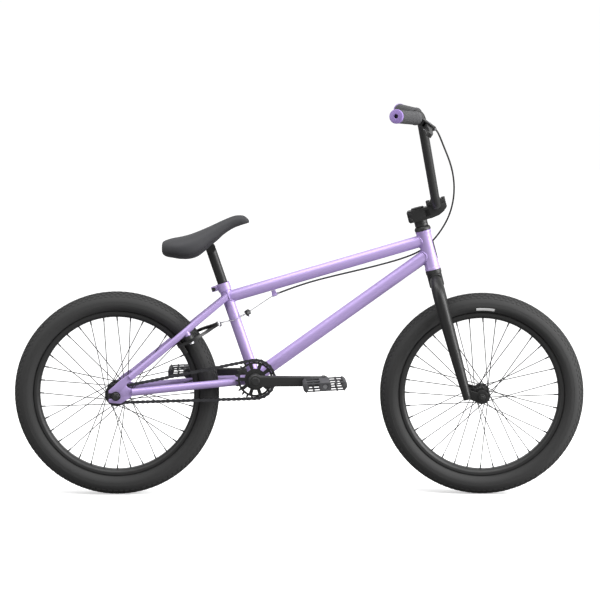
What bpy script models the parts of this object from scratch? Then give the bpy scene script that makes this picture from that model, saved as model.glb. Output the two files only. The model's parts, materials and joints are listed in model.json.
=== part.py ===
"""BMX bike as separate named pieces: frame, steering, wheels, chain drive, pedals, seat and rear U-brake.

Axes: +X forward, +Y to the rider's left, +Z up. The origin lies on the ground, midway between the axles.
The bars, fork and front wheel rest turned a little to the right, by REST_STEER, about the head tube's axis.
"""

import math

import bmesh
import bpy
from mathutils import Matrix, Vector
from mathutils.geometry import tessellate_polygon

for old in list(bpy.data.objects):
    bpy.data.objects.remove(old, do_unlink=True)

# ---------------------------------------------------------------- driving dimensions, in metres
WHEEL_RADIUS = 0.258            # 20 x 2.4 tyre on a 406 mm rim
TYRE_HALF_WIDTH = 0.0285
RIM_INNER_RADIUS = 0.194
RIM_OUTER_RADIUS = 0.2085
RIM_HALF_WIDTH = 0.0165
HALF_WHEELBASE = 0.462
REAR_AXLE = Vector((-HALF_WHEELBASE, 0.0, WHEEL_RADIUS))
BOTTOM_BRACKET = Vector((-0.1134, 0.0, 0.299))
PITCH = 0.0127                  # half-inch chain
SPROCKET_TEETH = 24
DRIVER_TEETH = 9
CHAIN_LINKS = 72
CHAIN_LINE = -0.045
CRANK_LENGTH = 0.170
CRANK_Y = 0.078
PEDAL_Y = 0.1365
STEERING_ANGLE = math.radians(75.0)
HEAD_BOTTOM = Vector((0.3350, 0.0, 0.5735))
HEAD_LENGTH = 0.102
FORK_OFFSET = 0.041
AXLE_BELOW_HEAD = 0.3376        # along the steering axis
REST_STEER = math.radians(5.5)
SEAT_TUBE_TOP = Vector((-0.1962, 0.0, 0.5378))
HEAD_TUBE_R = 0.0183
TOP_TUBE_R = 0.0150
DOWN_TUBE_R = 0.0164
SEAT_TUBE_R = 0.0143
BB_SHELL_R = 0.0222
BB_HALF_WIDTH = 0.0365
WALL = 0.0014
SEAT_POST_R = 0.0127
STEERER_R = 0.0143
BAR_R = 0.0111
GAP = 0.0004                    # between pieces that meet
SPOKES_PER_SIDE = 18
REAR_DROPOUT_Y = 0.055          # inner face, half of the 110 mm hub spacing
FRONT_DROPOUT_Y = 0.050         # inner face, half of the 100 mm hub spacing
DROPOUT_THICK = 0.006

LEFT = Vector((0.0, 1.0, 0.0))

# ---------------------------------------------------------------- materials
COLOURS = {
    "lilac_paint": ((0.44, 0.33, 0.66), 0.35, 0.45),
    "black_paint": ((0.018, 0.018, 0.019), 0.30, 0.0),
    "black_satin": ((0.030, 0.030, 0.031), 0.45, 0.0),
    "tyre_rubber": ((0.040, 0.038, 0.036), 0.75, 0.0),
    "grip_rubber": ((0.100, 0.100, 0.102), 0.80, 0.0),
    "purple_plastic": ((0.42, 0.32, 0.68), 0.35, 0.0),
    "seat_cover": ((0.048, 0.047, 0.046), 0.65, 0.0),
    "steel": ((0.45, 0.45, 0.46), 0.35, 1.0),
    "chain_steel": ((0.06, 0.055, 0.05), 0.40, 0.8),
    "black_plastic": ((0.045, 0.045, 0.050), 0.50, 0.0),
    "cable_housing": ((0.025, 0.025, 0.026), 0.50, 0.0),
}


def give_material(thing, look):
    """A Principled material of the piece's own, named after the piece."""
    colour, roughness, metallic = COLOURS[look]
    material = bpy.data.materials.new(thing.name)
    material.use_nodes = True
    shader = material.node_tree.nodes["Principled BSDF"]
    shader.inputs["Base Color"].default_value = (*colour, 1.0)
    shader.inputs["Roughness"].default_value = roughness
    shader.inputs["Metallic"].default_value = metallic
    material.diffuse_color = (*colour, 1.0)
    thing.data.materials.clear()
    thing.data.materials.append(material)


# ---------------------------------------------------------------- mesh helpers
def solid(name, points, faces):
    """A new object from points and faces, with its faces turned outwards."""
    mesh = bpy.data.meshes.new(name)
    shape = bmesh.new()
    corners = [shape.verts.new(p) for p in points]
    for face in faces:
        shape.faces.new([corners[i] for i in face])
    bmesh.ops.remove_doubles(shape, verts=shape.verts, dist=1e-7)
    bmesh.ops.recalc_face_normals(shape, faces=shape.faces)
    if shape.calc_volume(signed=True) < 0:
        bmesh.ops.reverse_faces(shape, faces=shape.faces)
    shape.to_mesh(mesh)
    shape.free()
    thing = bpy.data.objects.new(name, mesh)
    bpy.context.scene.collection.objects.link(thing)
    return thing


def finish(thing, look, origin=(0.0, 0.0, 0.0), frame=None, angle=38):
    """Places the piece by the frame matrix, sets its origin, shades it and gives it its material."""
    if frame is not None:
        thing.data.transform(frame)
    origin = Vector(origin)
    thing.data.transform(Matrix.Translation(-origin))
    thing.location = origin
    thing.data.shade_smooth()
    thing.data.set_sharp_from_angle(angle=math.radians(angle))
    give_material(thing, look)
    return thing


def combine(thing, other, operation):
    """Applies one exact Boolean to the piece and removes the other object."""
    step = thing.modifiers.new("combine", "BOOLEAN")
    step.operation = operation
    step.solver = "EXACT"
    step.object = other
    bpy.context.view_layer.update()
    graph = bpy.context.evaluated_depsgraph_get()
    result = bpy.data.meshes.new_from_object(thing.evaluated_get(graph))
    thing.modifiers.clear()
    thing.data = result
    bpy.data.objects.remove(other, do_unlink=True)
    return thing


def axes_matrix(origin, across, up):
    """A frame whose X runs along across and whose Z runs along up, with the given origin."""
    z = Vector(up).normalized()
    x = Vector(across)
    x = (x - x.dot(z) * z).normalized()
    y = z.cross(x)
    turn = Matrix((x, y, z)).transposed().to_4x4()
    return Matrix.Translation(Vector(origin)) @ turn


def turned_ring(name, profile, sides, frame=None):
    """Revolves a closed outline of (radius, height) points about the frame's Z axis."""
    points, faces = [], []
    count = len(profile)
    for i in range(sides):
        turn = 2 * math.pi * i / sides
        for radius, height in profile:
            points.append((radius * math.cos(turn), radius * math.sin(turn), height))
    for i in range(sides):
        for j in range(count):
            a = i * count + j
            b = i * count + (j + 1) % count
            c = ((i + 1) % sides) * count + (j + 1) % count
            d = ((i + 1) % sides) * count + j
            faces.append((a, b, c, d))
    thing = solid(name, points, faces)
    if frame is not None:
        thing.data.transform(frame)
    return thing


def turned_bar(name, profile, sides, frame=None):
    """Revolves an open outline of (radius, height) points into a solid with flat ends."""
    points, faces = [], []
    for radius, height in profile:
        for i in range(sides):
            turn = 2 * math.pi * i / sides
            points.append((radius * math.cos(turn), radius * math.sin(turn), height))
    for j in range(len(profile) - 1):
        for i in range(sides):
            k = (i + 1) % sides
            faces.append((j * sides + i, j * sides + k, (j + 1) * sides + k, (j + 1) * sides + i))
    faces.append(tuple(range(sides)))
    faces.append(tuple((len(profile) - 1) * sides + i for i in range(sides)))
    thing = solid(name, points, faces)
    if frame is not None:
        thing.data.transform(frame)
    return thing


def plate(name, outline, holes, low, high, frame=None):
    """A flat plate from a 2-D outline with holes, from height low to height high."""
    loops = [list(outline)] + [list(hole) for hole in holes]
    flat = [Vector((x, y, 0.0)) for loop in loops for x, y in loop]
    triangles = tessellate_polygon([[Vector((x, y, 0.0)) for x, y in loop] for loop in loops])
    total = len(flat)
    points = [(p.x, p.y, low) for p in flat] + [(p.x, p.y, high) for p in flat]
    faces = [tuple(t) for t in triangles] + [tuple(i + total for i in t) for t in triangles]
    start = 0
    for loop in loops:
        count = len(loop)
        for i in range(count):
            a = start + i
            b = start + (i + 1) % count
            faces.append((a, b, b + total, a + total))
        start += count
    thing = solid(name, points, faces)
    if frame is not None:
        thing.data.transform(frame)
    return thing


def circle(radius, sides, centre=(0.0, 0.0)):
    """Points of a circle, as a 2-D outline."""
    steps = [2 * math.pi * i / sides for i in range(sides)]
    return [(centre[0] + radius * math.cos(t), centre[1] + radius * math.sin(t)) for t in steps]


def arc(centre, radius, first, last, steps):
    """Points of an arc between two angles in degrees, both ends included."""
    found = []
    for i in range(steps + 1):
        t = math.radians(first + (last - first) * i / steps)
        found.append((centre[0] + radius * math.cos(t), centre[1] + radius * math.sin(t)))
    return found


def capsule(first, first_radius, second, second_radius, steps=7):
    """The outline round two circles joined by straight sides."""
    dx = second[0] - first[0]
    dy = second[1] - first[1]
    lean = math.degrees(math.atan2(dy, dx))
    spread = math.degrees(math.acos((first_radius - second_radius) / math.hypot(dx, dy)))
    far = arc(second, second_radius, lean - spread, lean + spread, steps)
    near = arc(first, first_radius, lean + spread, lean + 360 - spread, steps)
    return far + near


def rounded_path(corners, radii, steps=6):
    """A path through the corners with each inner corner rounded to its radius."""
    path = [corners[0]]
    for i in range(1, len(corners) - 1):
        corner = corners[i]
        back = (corners[i - 1] - corner).normalized()
        ahead = (corners[i + 1] - corner).normalized()
        half = back.angle(ahead) / 2
        middle = corner + (back + ahead).normalized() * radii[i - 1] / math.sin(half)
        start = corner + back * radii[i - 1] / math.tan(half) - middle
        end = corner + ahead * radii[i - 1] / math.tan(half) - middle
        for j in range(steps + 1):
            path.append(middle + start.slerp(end, j / steps) * radii[i - 1])
    path.append(corners[-1])
    return path


def smooth_path(knots, count):
    """Evenly parametrised points of a smooth curve through the knots."""
    ends = [2 * knots[0] - knots[1]] + list(knots) + [2 * knots[-1] - knots[-2]]
    path = []
    spans = len(knots) - 1
    for i in range(count):
        place = spans * i / (count - 1)
        k = min(int(place), spans - 1)
        t = place - k
        a, b, c, d = ends[k], ends[k + 1], ends[k + 2], ends[k + 3]
        square = 2 * a - 5 * b + 4 * c - d
        cube = 3 * b - a - 3 * c + d
        path.append(0.5 * (2 * b + (c - a) * t + square * t * t + cube * t**3))
    return path


def rings_along(path, radii, sides, side_hint):
    """Rings of points round a path, turning as little as possible from one ring to the next."""
    rings = []
    tangents = []
    for i in range(len(path)):
        before = path[max(i - 1, 0)]
        after = path[min(i + 1, len(path) - 1)]
        tangents.append((after - before).normalized())
    across = (side_hint - side_hint.dot(tangents[0]) * tangents[0]).normalized()
    for i, centre in enumerate(path):
        if i:
            across = tangents[i - 1].rotation_difference(tangents[i]) @ across
            across = (across - across.dot(tangents[i]) * tangents[i]).normalized()
        other = tangents[i].cross(across)
        ring = []
        for j in range(sides):
            t = 2 * math.pi * j / sides
            ring.append(centre + across * (radii[i] * math.cos(t)) + other * (radii[i] * math.sin(t)))
        rings.append(ring)
    return rings, tangents


def cope(ring, direction, cutters):
    """Slides each point of an end ring along the tube until it meets the first of the round tubes given."""
    placed = []
    for point in ring:
        reach = []
        for centre, axis, radius in cutters:
            axis = axis.normalized()
            offset = point - centre
            offset -= offset.dot(axis) * axis
            way = direction - direction.dot(axis) * axis
            a = way.dot(way)
            b = offset.dot(way)
            c = offset.dot(offset) - (radius + GAP) ** 2
            inside = b * b - a * c
            if inside > 0:
                reach.append((-b - math.sqrt(inside)) / a)
            else:
                reach.append(-b / a)
        placed.append(point + direction * min(reach))
    return placed


def loft(name, rings):
    """A solid skin over rings of equal count, with a flat cap on each end."""
    sides = len(rings[0])
    points = [p for ring in rings for p in ring]
    faces = []
    for j in range(len(rings) - 1):
        for i in range(sides):
            k = (i + 1) % sides
            faces.append((j * sides + i, j * sides + k, (j + 1) * sides + k, (j + 1) * sides + i))
    faces.append(tuple(range(sides)))
    faces.append(tuple((len(rings) - 1) * sides + i for i in range(sides)))
    return solid(name, points, faces)


def hollow_loft(name, outer, inner):
    """A tube from outer and inner rings, open at both ends."""
    sides = len(outer[0])
    count = len(outer)
    points = [p for ring in outer for p in ring] + [p for ring in inner for p in ring]
    shift = sides * count
    faces = []
    for j in range(count - 1):
        for i in range(sides):
            k = (i + 1) % sides
            a, b, c, d = j * sides + i, j * sides + k, (j + 1) * sides + k, (j + 1) * sides + i
            faces.append((a, b, c, d))
            faces.append((a + shift, b + shift, c + shift, d + shift))
    for j in (0, count - 1):
        for i in range(sides):
            k = (i + 1) % sides
            faces.append((j * sides + i, j * sides + k, j * sides + k + shift, j * sides + i + shift))
    return solid(name, points, faces)


def tube(name, path, radii, wall, sides, side_hint=LEFT, first_cutters=None, last_cutters=None):
    """A hollow tube along a path, with each end cut to fit the round tubes it meets."""
    outer, tangents = rings_along(path, radii, sides, side_hint)
    inner, _ = rings_along(path, [r - wall for r in radii], sides, side_hint)
    for rings in (outer, inner):
        if first_cutters:
            rings[0] = cope(rings[0], -tangents[0], first_cutters)
        if last_cutters:
            rings[-1] = cope(rings[-1], tangents[-1], last_cutters)
    return hollow_loft(name, outer, inner)


def cord_piece(name, path, radius, sides):
    """A solid round cord along a path."""
    rings, _ = rings_along(path, [radius] * len(path), sides, LEFT)
    return loft(name, rings)


def box_piece(name, low, high, frame=None):
    """A rectangular block between two corners of the frame."""
    outline = [(low[0], low[1]), (high[0], low[1]), (high[0], high[1]), (low[0], high[1])]
    return plate(name, outline, [], low[2], high[2], frame)


# ---------------------------------------------------------------- frame: main tubes
steering_up = Vector((-math.cos(STEERING_ANGLE), 0.0, math.sin(STEERING_ANGLE)))
steering_ahead = Vector((math.sin(STEERING_ANGLE), 0.0, math.cos(STEERING_ANGLE)))
straight_frame = axes_matrix(HEAD_BOTTOM, steering_ahead, steering_up)
steer_frame = straight_frame @ Matrix.Rotation(-REST_STEER, 4, "Z")
head_cutter = (HEAD_BOTTOM, steering_up, HEAD_TUBE_R)
seat_up = (SEAT_TUBE_TOP - BOTTOM_BRACKET).normalized()
seat_cutter = (BOTTOM_BRACKET, seat_up, SEAT_TUBE_R)
bb_cutter = (BOTTOM_BRACKET, LEFT, BB_SHELL_R)
stay_cutter = (BOTTOM_BRACKET, seat_up, SEAT_TUBE_R + 0.0009)

head_profile = [
    (HEAD_TUBE_R + 0.0012, 0.0),
    (HEAD_TUBE_R + 0.0012, 0.005),
    (HEAD_TUBE_R, 0.007),
    (HEAD_TUBE_R, HEAD_LENGTH - 0.007),
    (HEAD_TUBE_R + 0.0012, HEAD_LENGTH - 0.005),
    (HEAD_TUBE_R + 0.0012, HEAD_LENGTH),
    (HEAD_TUBE_R - 0.0025, HEAD_LENGTH),
    (HEAD_TUBE_R - 0.0025, 0.0),
]
head_tube = turned_ring("head_tube", head_profile, 20, straight_frame)
finish(head_tube, "lilac_paint", HEAD_BOTTOM)

TOP_TUBE_REAR = Vector((-0.1838, 0.0, 0.5017))
TOP_TUBE_FRONT = Vector((0.3147, 0.0, 0.6490))
DOWN_TUBE_FRONT = Vector((0.3242, 0.0, 0.6144))
top_way = (TOP_TUBE_FRONT - TOP_TUBE_REAR).normalized()
down_way = (DOWN_TUBE_FRONT - BOTTOM_BRACKET).normalized()
top_tube = tube(
    "top_tube",
    [TOP_TUBE_REAR + top_way * 0.03, TOP_TUBE_FRONT - top_way * 0.04],
    [TOP_TUBE_R, TOP_TUBE_R],
    WALL,
    20,
    first_cutters=[seat_cutter],
    last_cutters=[head_cutter],
)
finish(top_tube, "lilac_paint", TOP_TUBE_REAR)
down_tube = tube(
    "down_tube",
    [BOTTOM_BRACKET + down_way * 0.06, DOWN_TUBE_FRONT - down_way * 0.05],
    [DOWN_TUBE_R, DOWN_TUBE_R],
    WALL,
    18,
    first_cutters=[bb_cutter, (BOTTOM_BRACKET, seat_up, SEAT_TUBE_R + 0.0002)],
    last_cutters=[head_cutter],
)
finish(down_tube, "lilac_paint", BOTTOM_BRACKET)

# The seat tube carries the clamp: a thicker split collar with two ears behind the tube.
seat_frame = axes_matrix(SEAT_TUBE_TOP, LEFT.cross(seat_up), seat_up)
seat_tube = tube(
    "seat_tube",
    [BOTTOM_BRACKET + seat_up * 0.04, SEAT_TUBE_TOP - seat_up * 0.010],
    [SEAT_TUBE_R, SEAT_TUBE_R],
    SEAT_TUBE_R - SEAT_POST_R - 0.0005,
    18,
    first_cutters=[bb_cutter],
)
collar = turned_bar("collar", [(0.0160, -0.0205), (0.0168, -0.0190), (0.0168, 0.0)], 18, seat_frame)
ears = box_piece("ears", (-0.0320, -0.0075, -0.0140), (-0.0100, 0.0075, -0.0008), seat_frame)
combine(collar, ears, "UNION")
combine(seat_tube, collar, "UNION")
seat_bore = turned_bar("bore", [(SEAT_POST_R + 0.0005, -0.05), (SEAT_POST_R + 0.0005, 0.01)], 18, seat_frame)
combine(seat_tube, seat_bore, "DIFFERENCE")
collar_split = box_piece("split", (-0.04, -0.0011, -0.028), (-0.008, 0.0011, 0.01), seat_frame)
combine(seat_tube, collar_split, "DIFFERENCE")
ear_frame = axes_matrix(seat_frame @ Vector((-0.0262, 0.0, -0.0072)), seat_up, LEFT)
combine(seat_tube, turned_bar("hole", [(0.0031, -0.02), (0.0031, 0.02)], 14, ear_frame), "DIFFERENCE")
finish(seat_tube, "lilac_paint", BOTTOM_BRACKET)
clamp_profile = [
    (0.0050, -0.0125),
    (0.0060, -0.0115),
    (0.0060, -0.0080),
    (0.0028, -0.0079),
    (0.0028, 0.0079),
    (0.0050, 0.0080),
    (0.0050, 0.0120),
]
finish(turned_bar("seat_clamp_bolt", clamp_profile, 12, ear_frame), "black_satin", ear_frame.translation)

bb_frame = axes_matrix(BOTTOM_BRACKET, Vector((1, 0, 0)), LEFT)
bb_profile = [
    (BB_SHELL_R, -BB_HALF_WIDTH),
    (BB_SHELL_R, BB_HALF_WIDTH),
    (0.0185, BB_HALF_WIDTH),
    (0.0185, -BB_HALF_WIDTH),
]
finish(turned_ring("bb_shell", bb_profile, 20, bb_frame), "lilac_paint", BOTTOM_BRACKET)

# ---------------------------------------------------------------- frame: stays and dropouts
SIDES = (("right", -1.0), ("left", 1.0))
STAY_WAY = Vector((0.770, 0.0, 0.6379)).normalized()
STAY_FOOT = REAR_AXLE + Vector((0.0352, 0.0, 0.0462))
CHAIN_STAY_FOOT = REAR_AXLE + Vector((0.0395, 0.0, 0.0095))
chain_stay_way = Vector((0.1934, 0.0, 0.0180)).normalized()


def dropout_outline():
    """The rear dropout about the axle: a slot open to the rear and an edge square to each stay."""
    slot = arc((0.0, 0.0), 0.0073, 90, -90, 6)
    chain_edge = [(0.0404, -0.0005), (0.0386, 0.0186)]
    seat_edge = [(0.0406, 0.0397), (0.0298, 0.0527)]
    notch = [(0.0300, 0.0215), (0.0262, 0.0262), (0.0285, 0.0320)]
    rear = [(0.0110, 0.0400), (-0.0090, 0.0215), (-0.0180, 0.0135), (-0.0180, 0.0073)]
    below = [(-0.0180, -0.0073), (-0.0180, -0.0140), (-0.0150, -0.0170)]
    below += [(0.0120, -0.0190), (0.0300, -0.0080)]
    return slot + below + chain_edge + notch + seat_edge + rear


# Distance along the seat stay from its foot, and its distance from the bike's middle plane.
SEAT_STAY_SPREAD = (
    (0.0004, 0.0580),
    (0.0600, 0.0545),
    (0.1200, 0.0495),
    (0.1600, 0.0460),
    (0.1900, 0.0405),
    (0.2300, 0.0325),
    (0.2850, 0.0225),
)
stay_paths = {}
for side, sign in SIDES:
    face = sign * REAR_DROPOUT_Y
    flat = Matrix.Translation(REAR_AXLE) @ Matrix(((1, 0, 0, 0), (0, 0, -1, 0), (0, 1, 0, 0), (0, 0, 0, 1)))
    low, high = sorted((-face, -face - sign * DROPOUT_THICK))
    dropout = plate(f"dropout_{side}", dropout_outline(), [], low, high, flat)
    finish(dropout, "lilac_paint", REAR_AXLE)

    knots = [STAY_FOOT + STAY_WAY * along + LEFT * (sign * y) for along, y in SEAT_STAY_SPREAD]
    path = smooth_path(knots, 8)
    stay_paths[side] = path
    stay = tube(f"seatstay_{side}", path, [0.0082] * 8, WALL, 10, last_cutters=[stay_cutter])
    finish(stay, "lilac_paint", STAY_FOOT + LEFT * (sign * 0.058))

    knots = [
        CHAIN_STAY_FOOT + chain_stay_way * 0.0004 + LEFT * (sign * 0.0580),
        Vector((-0.345, sign * 0.0515, 0.2747)),
        Vector((-0.270, sign * 0.0458, 0.2817)),
        Vector((-0.2300, sign * 0.0428, 0.2853)),
        Vector((-0.1900, sign * 0.0350, 0.2885)),
        Vector((-0.1500, sign * 0.0262, 0.2910)),
    ]
    path = smooth_path(knots, 8)
    stay = tube(f"chainstay_{side}", path, [0.0095] * 8, WALL, 10, last_cutters=[bb_cutter])
    finish(stay, "lilac_paint", knots[0])

# ---------------------------------------------------------------- frame: rear axle
rear_axle_frame = axes_matrix(REAR_AXLE, Vector((1, 0, 0)), LEFT)
outside = REAR_DROPOUT_Y + DROPOUT_THICK + 0.0003
axle_profile = [
    (0.0060, -0.0810),
    (0.0068, -0.0800),
    (0.0068, -outside - 0.0110),
    (0.0104, -outside - 0.0110),
    (0.0118, -outside - 0.0090),
    (0.0118, -outside),
    (0.0068, -outside),
]
axle_profile = axle_profile + [(r, -h) for r, h in reversed(axle_profile)]
finish(turned_bar("rear_axle", axle_profile, 12, rear_axle_frame), "black_satin", REAR_AXLE)

# ---------------------------------------------------------------- drive: chain, sprocket and driver
sprocket_r = PITCH / (2 * math.sin(math.pi / SPROCKET_TEETH))
driver_r = PITCH / (2 * math.sin(math.pi / DRIVER_TEETH))
between = Vector((BOTTOM_BRACKET.x - REAR_AXLE.x, BOTTOM_BRACKET.z - REAR_AXLE.z))
chain_lean = math.atan2(between.y, between.x)
chain_open = math.asin((sprocket_r - driver_r) / between.length)
straight_pitches = math.sqrt(between.length**2 - (sprocket_r - driver_r) ** 2) / PITCH
sprocket_pitches = (math.pi + 2 * chain_open) / (2 * math.pi / SPROCKET_TEETH)
driver_pitches = (math.pi - 2 * chain_open) / (2 * math.pi / DRIVER_TEETH)
loop_pitches = 2 * straight_pitches + sprocket_pitches + driver_pitches
SPROCKET_START = chain_lean + math.pi / 2 + chain_open
DRIVER_START = chain_lean - math.pi / 2 - chain_open


def chain_place(step):
    """Centre (x, z) and outward normal of the chain at a place counted in pitches.

    The count starts at the top of the sprocket and runs forward over it, back along the lower run,
    round the driver and forward again along the upper run.
    """
    step *= loop_pitches / CHAIN_LINKS
    step %= loop_pitches
    if step < sprocket_pitches:
        t = SPROCKET_START - step * 2 * math.pi / SPROCKET_TEETH
        normal = Vector((math.cos(t), math.sin(t)))
        return Vector((BOTTOM_BRACKET.x, BOTTOM_BRACKET.z)) + normal * sprocket_r, normal
    step -= sprocket_pitches
    rear = Vector((REAR_AXLE.x, REAR_AXLE.z))
    front = Vector((BOTTOM_BRACKET.x, BOTTOM_BRACKET.z))
    t = SPROCKET_START - sprocket_pitches * 2 * math.pi / SPROCKET_TEETH
    low_normal = Vector((math.cos(t), math.sin(t)))
    if step < straight_pitches:
        share = step / straight_pitches
        return (front + low_normal * sprocket_r).lerp(rear + low_normal * driver_r, share), low_normal
    step -= straight_pitches
    if step < driver_pitches:
        t = DRIVER_START - step * 2 * math.pi / DRIVER_TEETH
        normal = Vector((math.cos(t), math.sin(t)))
        return rear + normal * driver_r, normal
    step -= driver_pitches
    share = step / straight_pitches
    high_normal = Vector((math.cos(SPROCKET_START), math.sin(SPROCKET_START)))
    return (rear + high_normal * driver_r).lerp(front + high_normal * sprocket_r, share), high_normal


# Each pitch is one cell with a roller between the side plates and one cell with a gap for a tooth.
ROLLER_HALF = 0.22
PLATE_Y = (-0.0042, -0.0022, 0.0022, 0.0042)
CHAIN_HALF_HEIGHT = 0.0040
points, faces = [], []
stations = []
for link in range(CHAIN_LINKS):
    stations.append((link - ROLLER_HALF, True))
    stations.append((link + ROLLER_HALF, False))
for place, _ in stations:
    centre, normal = chain_place(place)
    for y in PLATE_Y:
        for height in (-CHAIN_HALF_HEIGHT, CHAIN_HALF_HEIGHT):
            spot = centre + normal * height
            points.append((spot.x, CHAIN_LINE + y, spot.y))


def chain_corner(station, y, height):
    """Index of a chain point by its station, its place across and low or high."""
    return (station % len(stations)) * 8 + y * 2 + height


def wall_along(station, y):
    """The upright face of one cell, at a place across the chain."""
    ends = ((station, 0), (station + 1, 0), (station + 1, 1), (station, 1))
    return tuple(chain_corner(a, y, h) for a, h in ends)


def skin_along(station, y, height):
    """The face that covers one cell from one place across to the next, low or high."""
    ends = ((station, y), (station + 1, y), (station + 1, y + 1), (station, y + 1))
    return tuple(chain_corner(a, b, height) for a, b in ends)


for s, (_, is_roller) in enumerate(stations):
    for y in (0, 3):
        faces.append(wall_along(s, y))
    for y in (0, 1, 2):
        if y == 1 and not is_roller:
            continue
        for h in (0, 1):
            faces.append(skin_along(s, y, h))
    if is_roller:
        for end in (s, s + 1):
            faces.append(tuple(chain_corner(end, b, h) for b, h in ((1, 0), (2, 0), (2, 1), (1, 1))))
    else:
        for y in (1, 2):
            faces.append(wall_along(s, y))
chain = solid("chain", points, faces)
finish(chain, "chain_steel", (BOTTOM_BRACKET.x, CHAIN_LINE, BOTTOM_BRACKET.z), angle=30)


def toothed_outline(teeth, pitch_radius, first_tooth):
    """A sprocket's outline with each tooth centred midway between two rollers."""
    root = pitch_radius - CHAIN_HALF_HEIGHT - 0.0007
    outline = []
    step = 2 * math.pi / teeth
    for i in range(teeth):
        middle = first_tooth + i * step
        free_half = (0.5 - ROLLER_HALF) * step * 0.80
        root_half = min(math.asin(0.0030 / root), free_half)
        waist_half = min(math.asin(0.0022 / pitch_radius), free_half * 0.8)
        tip_half = math.asin(0.0008 / (pitch_radius + 0.0026))
        for radius, turn in (
            (root, -root_half),
            (pitch_radius - 0.0005, -waist_half),
            (pitch_radius + 0.0026, -tip_half),
            (pitch_radius + 0.0026, tip_half),
            (pitch_radius - 0.0005, waist_half),
            (root, root_half),
        ):
            outline.append((radius * math.cos(middle + turn), radius * math.sin(middle + turn)))
    return outline


def side_plane(centre):
    """A frame about a centre whose X and Y are the world's X and Z, so heights run towards -Y."""
    return Matrix.Translation(centre) @ Matrix(((1, 0, 0, 0), (0, 0, -1, 0), (0, 1, 0, 0), (0, 0, 0, 1)))


scale_to_loop = loop_pitches / CHAIN_LINKS
sprocket_tooth = SPROCKET_START - 0.5 * 2 * math.pi / SPROCKET_TEETH * scale_to_loop
driver_entry = sprocket_pitches + straight_pitches
first_roller = math.ceil(driver_entry / scale_to_loop)
first_gap = (first_roller + 0.5) * scale_to_loop - driver_entry
driver_tooth = DRIVER_START - first_gap * 2 * math.pi / DRIVER_TEETH
windows = []
for i in range(10):
    turn = 90 + i * 36
    inner = arc((0.0, 0.0), 0.0275, turn - 10, turn + 10, 1)
    outer = arc((0.0, 0.0), 0.0385, turn + 10.5, turn - 10.5, 1)
    windows.append(inner + outer)
sprocket = plate(
    "sprocket",
    toothed_outline(SPROCKET_TEETH, sprocket_r, sprocket_tooth),
    windows + [circle(0.0128, 18)],
    -CHAIN_LINE - 0.0018,
    -CHAIN_LINE + 0.0018,
    side_plane(BOTTOM_BRACKET),
)
finish(sprocket, "black_satin", BOTTOM_BRACKET)
driver = plate(
    "driver",
    toothed_outline(DRIVER_TEETH, driver_r, driver_tooth),
    [circle(0.0073, 12)],
    -CHAIN_LINE - 0.0017,
    -CHAIN_LINE + 0.0017,
    side_plane(REAR_AXLE),
)
sleeve_profile = [
    (0.0073, -0.0515),
    (0.0110, -0.0515),
    (0.0118, -0.0500),
    (0.0118, -0.0405),
    (0.0073, -0.0405),
]
combine(driver, turned_ring("sleeve", sleeve_profile, 12, rear_axle_frame), "UNION")
finish(driver, "chain_steel", REAR_AXLE)

# ---------------------------------------------------------------- rear brake
BRAKE_PIVOT = REAR_AXLE + Vector((0.1847, 0.0, 0.1410))
STUD_WAY = Vector((0.454, 0.0, -0.891)).normalized()
BRAKE_HALF_SPACING = 0.0435
ARM_THICK = 0.0070
PAD_BELOW_PIVOT = -0.0294
PAD_Y = 0.0200
arm_frame = axes_matrix(BRAKE_PIVOT, LEFT, STUD_WAY)


def strap_outline(spine, widths):
    """The outline of a flat strap along a 2-D centre line, with a width at each point of it."""
    one_side, other_side = [], []
    for i, (x, y) in enumerate(spine):
        before = spine[max(i - 1, 0)]
        after = spine[min(i + 1, len(spine) - 1)]
        along = Vector((after[0] - before[0], after[1] - before[1])).normalized()
        half = widths[i] / 2
        one_side.append((x - along.y * half, y + along.x * half))
        other_side.append((x + along.y * half, y - along.x * half))
    return one_side + other_side[::-1]


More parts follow.
